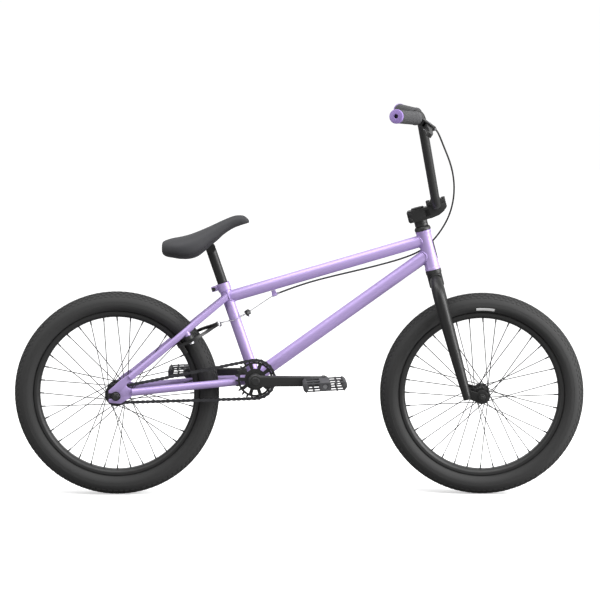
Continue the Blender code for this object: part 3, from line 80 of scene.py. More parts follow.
HEAD_LENGTH = 0.102
HEAD_TUBE_R = 0.0183
TOP_TUBE_R = 0.015
DOWN_TUBE_R = 0.0164
SEAT_TUBE_R = 0.0143
BB_SHELL_R = 0.0222
BB_HALF_WIDTH = 0.0365
SEAT_POST_R = 0.0127
STEERER_R = 0.0143
BAR_R = 0.0111
SEAT_TUBE_TOP = Vector((-0.1962, 0.0, 0.5378))
TOP_TUBE_REAR = Vector((-0.1838, 0.0, 0.5017))
TOP_TUBE_FRONT = Vector((0.3147, 0.0, 0.649))
DOWN_TUBE_FRONT = Vector((0.3242, 0.0, 0.6144))
STAY_WAY = Vector((0.77, 0.0, 0.6379)).normalized()
STAY_FOOT = REAR_AXLE + Vector((0.0352, 0.0, 0.0462))
CHAIN_STAY_FOOT = REAR_AXLE + Vector((0.0395, 0.0, 0.0095))
REAR_DROPOUT_Y = 0.055
FRONT_DROPOUT_Y = 0.05
DROPOUT_THICK = 0.006


# ---------------------------------------------------------------- materials
def connect(tree, start, end):
    """Links output name of one node to input name of another."""
    tree.links.new(start[0].outputs[start[1]], end[0].inputs[end[1]])


def material(name, colour, roughness, metallic=0.0, coat=0.0, grain=900.0, bump=0.05, speckle=0.06,
             wear=0.12, voronoi=False, specular=0.5):
    """A procedural finish: colour drifting at two scales, fine grain in the bump, and rubbed edges."""
    made = bpy.data.materials.new(name)
    made.use_nodes = True
    tree = made.node_tree
    shader = tree.nodes["Principled BSDF"]
    shader.inputs["Metallic"].default_value = metallic
    shader.inputs["Coat Weight"].default_value = coat
    shader.inputs["Coat Roughness"].default_value = 0.08
    shader.inputs["Specular IOR Level"].default_value = specular
    place = tree.nodes.new("ShaderNodeTexCoord")
    fine = tree.nodes.new("ShaderNodeTexVoronoi" if voronoi else "ShaderNodeTexNoise")
    fine.inputs["Scale"].default_value = grain
    broad = tree.nodes.new("ShaderNodeTexNoise")
    broad.inputs["Scale"].default_value = 9.0
    broad.inputs["Detail"].default_value = 6.0
    connect(tree, (place, "Object"), (fine, "Vector"))
    connect(tree, (place, "Object"), (broad, "Vector"))
    tint = tree.nodes.new("ShaderNodeValToRGB")
    low = [c * (1.0 - speckle * 2) for c in colour]
    high = [min(c * (1.0 + speckle * 2), 1.0) for c in colour]
    tint.color_ramp.elements[0].position = 0.3
    tint.color_ramp.elements[0].color = (*low, 1.0)
    tint.color_ramp.elements[1].position = 0.7
    tint.color_ramp.elements[1].color = (*high, 1.0)
    mixed = tree.nodes.new("ShaderNodeMath")
    mixed.operation = "MULTIPLY_ADD"
    mixed.inputs[1].default_value = 0.55
    connect(tree, (fine, "Distance" if voronoi else "Fac"), (mixed, 0))
    half = tree.nodes.new("ShaderNodeMath")
    half.operation = "MULTIPLY"
    half.inputs[1].default_value = 0.45
    connect(tree, (broad, "Fac"), (half, 0))
    connect(tree, (half, 0), (mixed, 2))
    connect(tree, (mixed, 0), (tint, "Fac"))
    rubbed = tree.nodes.new("ShaderNodeValToRGB")
    rubbed.color_ramp.elements[0].position = 0.52
    rubbed.color_ramp.elements[1].position = 0.62
    rubbed.color_ramp.elements[1].color = (wear, wear, wear, 1.0)
    geometry = tree.nodes.new("ShaderNodeNewGeometry")
    connect(tree, (geometry, "Pointiness"), (rubbed, "Fac"))
    worn = tree.nodes.new("ShaderNodeMix")
    worn.data_type = "RGBA"
    pale = [min(c * 1.6 + 0.02, 1.0) for c in colour]
    worn.inputs["B"].default_value = (*pale, 1.0)
    connect(tree, (rubbed, "Color"), (worn, "Factor"))
    connect(tree, (tint, "Color"), (worn, "A"))
    connect(tree, (worn, "Result"), (shader, "Base Color"))
    rough = tree.nodes.new("ShaderNodeMapRange")
    rough.inputs["To Min"].default_value = max(roughness - 0.07, 0.03)
    rough.inputs["To Max"].default_value = min(roughness + 0.09, 1.0)
    connect(tree, (broad, "Fac"), (rough, "Value"))
    connect(tree, (rough, "Result"), (shader, "Roughness"))
    relief = tree.nodes.new("ShaderNodeBump")
    relief.inputs["Strength"].default_value = bump
    relief.inputs["Distance"].default_value = 0.0006
    connect(tree, (fine, "Distance" if voronoi else "Fac"), (relief, "Height"))
    connect(tree, (relief, "Normal"), (shader, "Normal"))
    return made


FINISHES = {
    "lilac_paint": dict(colour=(0.325, 0.252, 0.47), roughness=0.26, metallic=0.6, coat=0.6,
                        grain=2600.0, bump=0.1, speckle=0.12, wear=0.25),
    "black_paint": dict(colour=(0.003, 0.003, 0.0032), roughness=0.1, coat=1.0, specular=0.5,
                        grain=1400.0, bump=0.02, wear=0.1),
    "black_satin": dict(colour=(0.0038, 0.0038, 0.004), roughness=0.25, specular=0.5, grain=1600.0,
                        bump=0.1, speckle=0.12, wear=0.22),
    "tyre_rubber": dict(colour=(0.02, 0.0195, 0.0185), roughness=0.8, grain=1100.0, bump=0.22,
                        speckle=0.16, wear=0.3, specular=0.12),
    "grip_rubber": dict(colour=(0.034, 0.034, 0.035), roughness=0.72, grain=1500.0, bump=0.25,
                        speckle=0.12, specular=0.4),
    "purple_plastic": dict(colour=(0.33, 0.225, 0.62), roughness=0.38, grain=1700.0, bump=0.06,
                           speckle=0.05),
    "seat_cover": dict(colour=(0.0105, 0.0103, 0.01), roughness=0.48, grain=1500.0, bump=0.4,
                       speckle=0.16, voronoi=True, specular=0.22),
    "steel": dict(colour=(0.46, 0.46, 0.47), roughness=0.34, metallic=1.0, grain=2200.0, bump=0.08,
                  speckle=0.1),
    "chain_steel": dict(colour=(0.06, 0.054, 0.049), roughness=0.34, metallic=0.85, grain=1900.0,
                        bump=0.1, speckle=0.18, wear=0.45),
    "spoke_steel": dict(colour=(0.05, 0.05, 0.052), roughness=0.34, metallic=0.6, grain=2400.0,
                        bump=0.05, speckle=0.1),
    "black_plastic": dict(colour=(0.008, 0.008, 0.0085), roughness=0.3, grain=1300.0, bump=0.22,
                          speckle=0.1, wear=0.3),
    "cable_housing": dict(colour=(0.02, 0.02, 0.021), roughness=0.42, grain=2000.0, bump=0.08,
                          speckle=0.08),
    "pad_rubber": dict(colour=(0.07, 0.066, 0.064), roughness=0.8, grain=1300.0, bump=0.25, speckle=0.15),
    "label_white": dict(colour=(0.98, 0.98, 0.97), roughness=0.5, grain=1800.0, bump=0.08, speckle=0.04),
}


# ---------------------------------------------------------------- mesh helpers
def axes_matrix(origin, across, up):
    """A frame whose X runs along across and whose Z runs along up, with the given origin."""
    z = Vector(up).normalized()
    x = Vector(across)
    x = (x - x.dot(z) * z).normalized()
    turn = Matrix((x, z.cross(x), z)).transposed().to_4x4()
    return Matrix.Translation(Vector(origin)) @ turn


def side_plane(centre):
    """A frame whose X and Y are the bike's X and Z, and whose Z points to the rider's right."""
    return Matrix.Translation(centre) @ Matrix(((1, 0, 0, 0), (0, 0, -1, 0), (0, 1, 0, 0), (0, 0, 0, 1)))


class Shape:
    """Points and faces gathered from several simple solids, to become one piece."""

    def __init__(self):
        self.points = []
        self.faces = []

    def add(self, points, faces, where=None):
        base = len(self.points)
        self.points.extend(where @ Vector(p) if where else Vector(p) for p in points)
        self.faces.extend(tuple(i + base for i in face) for face in faces)
        return self

    def rings(self, rings, closed=False, capped=True, where=None):
        """A skin over rings of equal count."""
        count = len(rings[0])
        points = [p for ring in rings for p in ring]
        faces = []
        last = len(rings) if closed else len(rings) - 1
        for j in range(last):
            a = j * count
            b = (j + 1) % len(rings) * count
            for i in range(count):
                k = (i + 1) % count
                faces.append((a + i, a + k, b + k, b + i))
        if capped and not closed:
            faces.append(tuple(range(count)))
            faces.append(tuple((len(rings) - 1) * count + i for i in range(count)))
        return self.add(points, faces, where)

    def turned(self, profile, sides=48, where=None, closed=False):
        """A profile of (radius, height) turned about Z: a bar with flat ends, or a ring when closed."""
        rings = []
        for radius, height in profile:
            rings.append([(radius * math.cos(t), radius * math.sin(t), height)
                          for t in (2 * math.pi * i / sides for i in range(sides))])
        return self.rings(rings, closed=closed, where=where)

    def swept(self, path, radii, sides=24, hint=LEFT, closed=False):
        """A round tube along a path, with one radius or one for each point."""
        radii = radii if isinstance(radii, (list, tuple)) else [radii] * len(path)
        rings, _ = rings_along(path, radii, sides, hint, closed)
        return self.rings(rings, closed=closed)

    def plate(self, outline, holes, low, high, where=None):
        """A flat plate from a 2-D outline with holes."""
        loops = [list(outline)] + [list(hole) for hole in holes]
        flat = [(x, y) for loop in loops for x, y in loop]
        triangles = tessellate_polygon([[Vector((x, y, 0.0)) for x, y in loop] for loop in loops])
        total = len(flat)
        points = [(x, y, low) for x, y in flat] + [(x, y, high) for x, y in flat]
        faces = [tuple(t) for t in triangles] + [tuple(i + total for i in t) for t in triangles]
        start = 0
        for loop in loops:
            for i in range(len(loop)):
                a = start + i
                b = start + (i + 1) % len(loop)
                faces.append((a, b, b + total, a + total))
            start += len(loop)
        return self.add(points, faces, where)

    def box(self, low, high, where=None):
        points = [(x, y, z) for x in (low[0], high[0]) for y in (low[1], high[1]) for z in (low[2], high[2])]
        faces = [(0, 1, 3, 2), (4, 6, 7, 5), (0, 4, 5, 1), (2, 3, 7, 6), (0, 2, 6, 4), (1, 5, 7, 3)]
        return self.add(points, faces, where)

    def piece(self, name, body, finish, replaces=(), bevel=0.0, smooth=38, segments=2, slot=None):
        """The finished object: bevelled, shaded, painted, and riding on its body."""
        mesh = bpy.data.meshes.new(name)
        mesh.from_pydata([tuple(p) for p in self.points], [], self.faces)
        work = bmesh.new()
        work.from_mesh(mesh)
        bmesh.ops.remove_doubles(work, verts=work.verts, dist=1e-6)
        bmesh.ops.recalc_face_normals(work, faces=work.faces)
        if bevel:
            bmesh.ops.dissolve_limit(work, angle_limit=math.radians(0.5), verts=work.verts, edges=work.edges)
        work.to_mesh(mesh)
        work.free()
        thing = bpy.data.objects.new(name, mesh)
        bpy.context.collection.objects.link(thing)
        return settle(thing, body, finish, replaces, bevel, smooth, segments)


def settle(thing, body, finish, replaces=(), bevel=0.0, smooth=38, segments=2):
    """Bevels, shades and paints an object, then ties it to its body, if it has one, and hides the CAD nodes
    it replaces.
    """
    if bevel:
        step = thing.modifiers.new("bevel", "BEVEL")
        step.width = bevel
        step.segments = segments
        step.limit_method = "ANGLE"
        step.angle_limit = math.radians(smooth)
        step.harden_normals = False
        bake(thing)
    thing.data.shade_smooth()
    thing.data.set_sharp_from_angle(angle=math.radians(smooth))
    thing.data.materials.clear()
    thing.data.materials.append(bpy.data.materials.get(finish) or material(finish, **FINISHES[finish]))
    if body:
        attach(thing, body)
    if replaces:
        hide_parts(*([replaces] if isinstance(replaces, str) else replaces))
    return thing


def bake(thing):
    """Replaces an object's mesh with the result of its modifiers."""
    bpy.context.view_layer.update()
    graph = bpy.context.evaluated_depsgraph_get()
    thing.data = bpy.data.meshes.new_from_object(thing.evaluated_get(graph))
    thing.modifiers.clear()


def cut(thing, other, operation="DIFFERENCE"):
    """Applies one exact Boolean with a Shape."""
    mesh = bpy.data.meshes.new("cutter")
    mesh.from_pydata([tuple(p) for p in other.points], [], other.faces)
    work = bmesh.new()
    work.from_mesh(mesh)
    bmesh.ops.recalc_face_normals(work, faces=work.faces)
    work.to_mesh(mesh)
    work.free()
    cutter = bpy.data.objects.new("cutter", mesh)
    bpy.context.collection.objects.link(cutter)
    step = thing.modifiers.new("cut", "BOOLEAN")
    step.operation = operation
    step.object = cutter
    bake(thing)
    bpy.data.objects.remove(cutter, do_unlink=True)
    return thing


def refined(node, body, finish, bevel, smooth=38, segments=2):
    """A copy of a CAD node's solid with its edges rounded over, which then stands for the node."""
    mesh = frame["nodes"][node].data.copy()
    work = bmesh.new()
    work.from_mesh(mesh)
    bmesh.ops.remove_doubles(work, verts=work.verts, dist=2e-6)
    bmesh.ops.dissolve_limit(work, angle_limit=math.radians(0.6), verts=work.verts, edges=work.edges)
    bmesh.ops.recalc_face_normals(work, faces=work.faces)
    work.to_mesh(mesh)
    work.free()
    thing = bpy.data.objects.new(node + "_fine", mesh)
    bpy.context.collection.objects.link(thing)
    return settle(thing, body, finish, (node,), bevel, smooth, segments)


def circle(radius, sides, centre=(0.0, 0.0)):
    steps = [2 * math.pi * i / sides for i in range(sides)]
    return [(centre[0] + radius * math.cos(t), centre[1] + radius * math.sin(t)) for t in steps]


def arc(centre, radius, first, last, steps):
    found = []
    for i in range(steps + 1):
        t = math.radians(first + (last - first) * i / steps)
        found.append((centre[0] + radius * math.cos(t), centre[1] + radius * math.sin(t)))
    return found


def rounded_path(corners, radii, steps=10):
    """A path through the corners with each inner corner rounded to its radius."""
    path = [corners[0]]
    for i in range(1, len(corners) - 1):
        corner = corners[i]
        back = (corners[i - 1] - corner).normalized()
        ahead = (corners[i + 1] - corner).normalized()
        half = back.angle(ahead) / 2
        middle = corner + (back + ahead).normalized() * radii[i - 1] / math.sin(half)
        start = corner + back * radii[i - 1] / math.tan(half) - middle
        end = corner + ahead * radii[i - 1] / math.tan(half) - middle
        for j in range(steps + 1):
            path.append(middle + start.slerp(end, j / steps) * radii[i - 1])
    path.append(corners[-1])
    return path


def spline_value(a, b, c, d, t):
    """The value at t from b to c, on a smooth curve through all four."""
    bend = (2 * a - 5 * b + 4 * c - d) * t * t
    return 0.5 * (2 * b + (c - a) * t + bend + (3 * b - a - 3 * c + d) * t**3)


def smooth_path(knots, count):
    """Points of a smooth curve through the knots."""
    ends = [2 * knots[0] - knots[1]] + list(knots) + [2 * knots[-1] - knots[-2]]
    path = []
    spans = len(knots) - 1
    for i in range(count):
        place = spans * i / (count - 1)
        k = min(int(place), spans - 1)
        t = place - k
        path.append(spline_value(*ends[k:k + 4], t))
    return path


def rings_along(path, radii, sides, hint, closed=False):
    """Rings of points round a path, turning as little as possible from one ring to the next."""
    count = len(path)
    tangents = []
    for i in range(count):
        before = path[i - 1] if closed or i else path[0]
        after = path[(i + 1) % count] if closed else path[min(i + 1, count - 1)]
        tangents.append((after - before).normalized())
    across = (hint - hint.dot(tangents[0]) * tangents[0]).normalized()
    rings = []
    for i, centre in enumerate(path):
        if i:
            across = tangents[i - 1].rotation_difference(tangents[i]) @ across
            across = (across - across.dot(tangents[i]) * tangents[i]).normalized()
        other = tangents[i].cross(across)
        rings.append([centre + across * (radii[i] * math.cos(t)) + other * (radii[i] * math.sin(t))
                      for t in (2 * math.pi * j / sides for j in range(sides))])
    return rings, tangents


def meeting_loop(start, way, radius, centre, axis, other_radius, count=72, towards=1):
    """The closed line where a round tube leaving start along way meets another round tube."""
    way = way.normalized()
    axis = axis.normalized()
    side = way.cross(axis)
    side = side.normalized() if side.length > 1e-6 else LEFT
    up = side.cross(way)
    loop = []
    for i in range(count):
        t = 2 * math.pi * i / count
        point = start + side * (radius * math.cos(t)) + up * (radius * math.sin(t))
        offset = point - centre
        offset -= offset.dot(axis) * axis
        flat = way - way.dot(axis) * axis
        a = flat.dot(flat)
        b = offset.dot(flat)
        c = offset.dot(offset) - other_radius**2
        root = max(b * b - a * c, 0.0) ** 0.5
        reach = (-b + towards * root) / a
        loop.append(point + way * reach)
    return loop


def weld_bead(shape, loop, radius=0.0021):
    """A rippled bead along a closed line, like a row of overlapping drops."""
    length = sum((loop[i] - loop[i - 1]).length for i in range(len(loop)))
    drops = max(int(length / 0.0021), 12)
    count = drops * 4
    path, radii = [], []
    for i in range(count):
        place = len(loop) * i / count
        k = int(place)
        path.append(loop[k % len(loop)].lerp(loop[(k + 1) % len(loop)], place - k))
        radii.append(radius * (0.92 + 0.1 * math.cos(2 * math.pi * i / 4)))
    shape.swept(path, radii, 8, hint=LEFT, closed=True)


# ---------------------------------------------------------------- the frame's tubes, stays and dropouts
steering_ahead = Vector((STEERING_UP.z, 0.0, -STEERING_UP.x))
straight_frame = axes_matrix(HEAD_BOTTOM, steering_ahead, STEERING_UP)
steer_frame = straight_frame @ Matrix.Rotation(-REST_STEER, 4, "Z")
seat_up = (SEAT_TUBE_TOP - BOTTOM_BRACKET).normalized()
seat_frame = axes_matrix(SEAT_TUBE_TOP, LEFT.cross(seat_up), seat_up)
top_way = (TOP_TUBE_FRONT - TOP_TUBE_REAR).normalized()
down_way = (DOWN_TUBE_FRONT - BOTTOM_BRACKET).normalized()
rear_axle_frame = axes_matrix(REAR_AXLE, Vector((1, 0, 0)), LEFT)
bb_frame = axes_matrix(BOTTOM_BRACKET, Vector((1, 0, 0)), LEFT)
SINK = 0.001                   # how far a tube's end goes into the tube it is welded to


def cope(ring, direction, cutters):
    """Slides an end ring along the tube until each point lies just inside the first tube it meets."""
    placed = []
    for point in ring:
        reach = []
        for centre, axis, radius in cutters:
            axis = axis.normalized()
            offset = point - centre
            offset -= offset.dot(axis) * axis
            flat = direction - direction.dot(axis) * axis
            a = flat.dot(flat)
            b = offset.dot(flat)
            inside = b * b - a * (offset.dot(offset) - (radius - SINK) ** 2)
            reach.append((-b - math.sqrt(inside)) / a if inside > 0 else -b / a)
        placed.append(point + direction * min(reach))
    return placed


def coped_tube(path, radius, sides, first=(), last=()):
    """A round tube along a path whose ends sink just under the skins of the tubes they meet."""
    rings, tangents = rings_along(path, [radius] * len(path), sides, LEFT)
    if first:
        rings[0] = cope(rings[0], -tangents[0], first)
    if last:
        rings[-1] = cope(rings[-1], tangents[-1], last)
    return Shape().rings(rings)


def weld(name, body, finish, loops, radius=0.0021):
    """Rippled weld beads along closed lines, as one piece."""
    shape = Shape()
    for loop in loops:
        weld_bead(shape, loop, radius)
    return shape.piece(name, body, finish)


head_cutter = (HEAD_BOTTOM, STEERING_UP, HEAD_TUBE_R)
seat_cutter = (BOTTOM_BRACKET, seat_up, SEAT_TUBE_R)
bb_cutter = (BOTTOM_BRACKET, LEFT, BB_SHELL_R)

head_profile = [
    (HEAD_TUBE_R + 0.0006, 0.0), (HEAD_TUBE_R + 0.0013, 0.0006), (HEAD_TUBE_R + 0.0013, 0.0052),
    (HEAD_TUBE_R + 0.0004, 0.0068), (HEAD_TUBE_R, 0.008), (HEAD_TUBE_R, HEAD_LENGTH - 0.008),
    (HEAD_TUBE_R + 0.0004, HEAD_LENGTH - 0.0068), (HEAD_TUBE_R + 0.0013, HEAD_LENGTH - 0.0052),
    (HEAD_TUBE_R + 0.0013, HEAD_LENGTH - 0.0006), (HEAD_TUBE_R + 0.0006, HEAD_LENGTH),
    (HEAD_TUBE_R - 0.0025, HEAD_LENGTH), (HEAD_TUBE_R - 0.0025, 0.0),
]
head_tube = Shape().turned(head_profile, 72, straight_frame, closed=True)
head_tube.piece("head_tube_fine", "frame", "lilac_paint", "head_tube")

top_path = [TOP_TUBE_REAR + top_way * 0.03, TOP_TUBE_FRONT - top_way * 0.04]
top_tube = coped_tube(top_path, TOP_TUBE_R, 56, [seat_cutter], [head_cutter])
top_tube.piece("top_tube_fine", "frame", "lilac_paint", "top_tube")
down_path = [BOTTOM_BRACKET + down_way * 0.06, DOWN_TUBE_FRONT - down_way * 0.05]
down_tube = coped_tube(down_path, DOWN_TUBE_R, 56, [bb_cutter, seat_cutter], [head_cutter])
down_tube.piece("down_tube_fine", "frame", "lilac_paint", "down_tube")

# The seat tube is open for the post, and ends in a split collar with two ears behind it.
tube_length = (SEAT_TUBE_TOP - BOTTOM_BRACKET).length
seat_bore = SEAT_POST_R + 0.0005
seat_profile = [
    (SEAT_TUBE_R, 0.0172 - tube_length), (SEAT_TUBE_R, -0.0205), (0.016, -0.0203), (0.0168, -0.0193),
    (0.0168, -0.0006), (0.0162, 0.0), (seat_bore, 0.0), (seat_bore, 0.0172 - tube_length),
]
seat_tube = Shape().turned(seat_profile, 56, seat_frame, closed=True)
seat_piece = seat_tube.piece("seat_tube_fine", "frame", "lilac_paint", "seat_tube")
split = Shape().box((-0.04, -0.0011, -0.028), (-0.008, 0.0011, 0.01), seat_frame)
cut(seat_piece, split)
ears = Shape()
for low, high in ((-0.0075, -0.0011), (0.0011, 0.0075)):
    ears.box((-0.032, low, -0.014), (-0.014, high, -0.0008), seat_frame)
ears.piece("seat_clamp_ears", "frame", "lilac_paint", bevel=0.002, segments=4)
ear_frame = axes_matrix(seat_frame @ Vector((-0.0262, 0.0, -0.0072)), seat_up, LEFT)
clamp_bolt = Shape().turned([(0.0046, -0.0125), (0.005, -0.012), (0.005, -0.0078), (0.0028, -0.0077)],
                            40, ear_frame)
clamp_bolt.turned([(0.0027, -0.0078), (0.0027, 0.0078)], 24, ear_frame)
clamp_bolt.turned([(0.0058, 0.0077), (0.0058, 0.0112), (0.0052, 0.012)], 6, ear_frame)
clamp_bolt.piece("seat_clamp_bolt_fine", "frame", "black_satin", "seat_clamp_bolt")

bb_profile = [
    (BB_SHELL_R - 0.0006, -BB_HALF_WIDTH), (BB_SHELL_R, -BB_HALF_WIDTH + 0.0007),
    (BB_SHELL_R, BB_HALF_WIDTH - 0.0007), (BB_SHELL_R - 0.0006, BB_HALF_WIDTH), (0.0185, BB_HALF_WIDTH),
    (0.0185, -BB_HALF_WIDTH),
]
bb_shell = Shape().turned(bb_profile, 72, bb_frame, closed=True)
bb_shell.piece("bb_shell_fine", "frame", "lilac_paint", "bb_shell")
for side, sign in SIDES:
    bearing = [(0.0184, sign * 0.0362), (0.0184, sign * 0.029), (0.0134, sign * 0.029),
               (0.0134, sign * 0.0362)]
    cup = Shape().turned(bearing, 56, bb_frame, closed=True)
    cup.piece(f"bb_bearing_{side}", "frame", "black_satin")

SEAT_STAY_SPREAD = (
    (0.0004, 0.058), (0.06, 0.0545), (0.12, 0.0495), (0.16, 0.046), (0.19, 0.0405),
    (0.23, 0.0325), (0.285, 0.0225),
)
CHAIN_STAY_KNOTS = (
    (-0.345, 0.0515, 0.2747), (-0.27, 0.0458, 0.2817), (-0.23, 0.0428, 0.2853),
    (-0.19, 0.035, 0.2885), (-0.15, 0.0262, 0.291),
)
chain_stay_way = Vector((0.1934, 0.0, 0.018)).normalized()
stay_loops = []
for side, sign in SIDES:
    knots = [STAY_FOOT + STAY_WAY * along + LEFT * (sign * y) for along, y in SEAT_STAY_SPREAD]
    path = smooth_path(knots, 36)
    stay = coped_tube(path, 0.0082, 32, (), [(BOTTOM_BRACKET, seat_up, SEAT_TUBE_R)])
    stay.turned([(0.006, -0.001), (0.0078, 0.0004), (0.0082, 0.002)], 32,
                axes_matrix(path[0], LEFT, path[1] - path[0]))
    stay.piece(f"seatstay_{side}_fine", "frame", "lilac_paint", f"seatstay_{side}")
    way = path[-1] - path[-2]
    stay_loops.append(meeting_loop(path[-2], way, 0.0082, BOTTOM_BRACKET, seat_up, SEAT_TUBE_R, towards=-1))

    foot = CHAIN_STAY_FOOT + chain_stay_way * 0.0004 + LEFT * (sign * 0.058)
    knots = [foot] + [Vector((x, sign * y, z)) for x, y, z in CHAIN_STAY_KNOTS]
    path = smooth_path(knots, 36)
    stay = coped_tube(path, 0.0095, 32, (), [bb_cutter])
    stay.piece(f"chainstay_{side}_fine", "frame", "lilac_paint", f"chainstay_{side}")
    way = path[-1] - path[-2]
    stay_loops.append(meeting_loop(path[-2], way, 0.0095, BOTTOM_BRACKET, LEFT, BB_SHELL_R, towards=-1))
    refined(f"dropout_{side}", "frame", "lilac_paint", 0.0009)

loops = [
    meeting_loop(top_path[-1], top_way, TOP_TUBE_R, HEAD_BOTTOM, STEERING_UP, HEAD_TUBE_R, towards=-1),
    meeting_loop(down_path[-1], down_way, DOWN_TUBE_R, HEAD_BOTTOM, STEERING_UP, HEAD_TUBE_R, towards=-1),
    meeting_loop(top_path[0], -top_way, TOP_TUBE_R, BOTTOM_BRACKET, seat_up, SEAT_TUBE_R, towards=-1),
    meeting_loop(down_path[0], -down_way, DOWN_TUBE_R, BOTTOM_BRACKET, LEFT, BB_SHELL_R, towards=-1),
    meeting_loop(BOTTOM_BRACKET + seat_up * 0.06, -seat_up, SEAT_TUBE_R, BOTTOM_BRACKET, LEFT, BB_SHELL_R,
                 towards=-1),
]
weld("frame_welds", "frame", "lilac_paint", loops + stay_loops)

# A plain shield stands where the head badge is, curved to the head tube.
badge_rings = []
for row in range(25):
    share = row / 24
    height = 0.026 + 0.048 * share
    half_turn = 0.62 * (1.0 - 0.45 * (1.0 - share) ** 2.2) * (1.0 - 0.1 * share**6)
    front, back = [], []
    for i in range(13):
        turn = half_turn * (i / 6 - 1)
        edge = 0.0004 if 0 < i < 12 and 0 < row < 24 else 0.0
        front.append(Vector(((HEAD_TUBE_R + 0.0005 + edge) * math.cos(turn),
                             (HEAD_TUBE_R + 0.0005 + edge) * math.sin(turn), height)))
        back.append(Vector(((HEAD_TUBE_R - 0.0005) * math.cos(turn),
                            (HEAD_TUBE_R - 0.0005) * math.sin(turn), height)))
    badge_rings.append(front + back[::-1])
Shape().rings(badge_rings, where=straight_frame).piece("head_badge", "frame", "black_paint", smooth=50)


def axle_end(shape, sign, inner, nut_r, nut_h, axle_r, tip, where):
    """A washer, a six-sided nut and a threaded end on one side of an axle."""
    shape.turned([(nut_r + 0.0012, sign * inner), (nut_r + 0.0012, sign * (inner + 0.0014))], 48, where)
    low = inner + 0.0014
    shape.turned(
        [
            (nut_r * 0.93, sign * low), (nut_r, sign * (low + 0.0006)),
            (nut_r, sign * (low + nut_h - 0.001)), (nut_r * 0.9, sign * (low + nut_h)),
        ],
        6,
        where,
    )
    profile = []
    height = low
    while height < tip - 0.001:
        profile.append((axle_r, sign * height))
        profile.append((axle_r - 0.0004, sign * (height + 0.0005)))
        height += 0.001
    profile.append((axle_r - 0.0008, sign * tip))
    shape.turned(profile, 28, where)


rear_outside = REAR_DROPOUT_Y + DROPOUT_THICK + 0.0003
axle = Shape().turned([(0.0067, -rear_outside), (0.0067, rear_outside)], 32, rear_axle_frame)
for side, sign in SIDES:
    axle_end(axle, sign, rear_outside, 0.0104, 0.0092, 0.0067, 0.081, rear_axle_frame)
axle.piece("rear_axle_fine", "frame", "black_satin", "rear_axle", smooth=32)

# ---------------------------------------------------------------- sprocket, chain and driver
sprocket_r = PITCH / (2 * math.sin(math.pi / SPROCKET_TEETH))
driver_r = PITCH / (2 * math.sin(math.pi / DRIVER_TEETH))
front_centre = Vector((BOTTOM_BRACKET.x, BOTTOM_BRACKET.z))
rear_centre = Vector((REAR_AXLE.x, REAR_AXLE.z))
between = front_centre - rear_centre
chain_lean = math.atan2(between.y, between.x)
chain_open = math.asin((sprocket_r - driver_r) / between.length)
straight_pitches = math.sqrt(between.length**2 - (sprocket_r - driver_r) ** 2) / PITCH
sprocket_pitches = (math.pi + 2 * chain_open) / (2 * math.pi / SPROCKET_TEETH)
driver_pitches = (math.pi - 2 * chain_open) / (2 * math.pi / DRIVER_TEETH)
loop_pitches = 2 * straight_pitches + sprocket_pitches + driver_pitches
SPROCKET_START = chain_lean + math.pi / 2 + chain_open
DRIVER_START = chain_lean - math.pi / 2 - chain_open


def chain_place(step):
    """Centre (x, z) and outward normal of the chain at a place counted in pitches from the sprocket's top."""
    step = step * loop_pitches / CHAIN_LINKS % loop_pitches
    if step < sprocket_pitches:
        t = SPROCKET_START - step * 2 * math.pi / SPROCKET_TEETH
        normal = Vector((math.cos(t), math.sin(t)))
        return front_centre + normal * sprocket_r, normal
    step -= sprocket_pitches
    t = SPROCKET_START - sprocket_pitches * 2 * math.pi / SPROCKET_TEETH
    low_normal = Vector((math.cos(t), math.sin(t)))
    if step < straight_pitches:
        share = step / straight_pitches
        return (front_centre + low_normal * sprocket_r).lerp(rear_centre + low_normal * driver_r,
                                                             share), low_normal
    step -= straight_pitches
    if step < driver_pitches:
        t = DRIVER_START - step * 2 * math.pi / DRIVER_TEETH
        normal = Vector((math.cos(t), math.sin(t)))
        return rear_centre + normal * driver_r, normal
    step -= driver_pitches
    share = step / straight_pitches
    high_normal = Vector((math.cos(SPROCKET_START), math.sin(SPROCKET_START)))
    return (rear_centre + high_normal * driver_r).lerp(front_centre + high_normal * sprocket_r,
                                                       share), high_normal


def link_outline(length, radius, waist, steps=6):
    """A chain plate: two round ends joined by a narrow waist."""
    right = arc((length / 2, 0.0), radius, -112, 112, steps)
    left = arc((-length / 2, 0.0), radius, 68, 292, steps)
    return right + [(0.0, waist)] + left + [(0.0, -waist)]


def across_bar(shape, where, radius, half, sides):
    """A short bar across the chain."""
    shape.turned([(radius, -half), (radius, half)], sides, where)


chain = Shape()
pins = Shape()
for link in range(CHAIN_LINKS):
    here, normal = chain_place(link)
    there, _ = chain_place(link + 1)
    along = (there - here).normalized()
    middle = (here + there) / 2
    place = Matrix.Translation((middle.x, CHAIN_LINE, middle.y)) @ Matrix((
        (along.x, -along.y, 0, 0), (0, 0, -1, 0), (along.y, along.x, 0, 0), (0, 0, 0, 1)))
    outer = link % 2 == 0
    near, far = (0.0032, 0.0043) if outer else (0.0021, 0.0031)
    outline = link_outline((there - here).length, 0.0041 if outer else 0.0039, 0.0027)
    chain.plate(outline, [], near, far, place)
    chain.plate(outline, [], -far, -near, place)
    joint = Matrix.Translation((here.x, CHAIN_LINE, here.y)) @ Matrix((
        (1, 0, 0, 0), (0, 0, -1, 0), (0, 1, 0, 0), (0, 0, 0, 1)))
    across_bar(chain, joint, 0.0036, 0.0022, 14)
    across_bar(pins, joint, 0.0018, 0.0048, 10)
chain.piece("chain_links", "frame", "chain_steel", "chain", smooth=40)
pins.piece("chain_pins", "frame", "chain_steel", smooth=40)


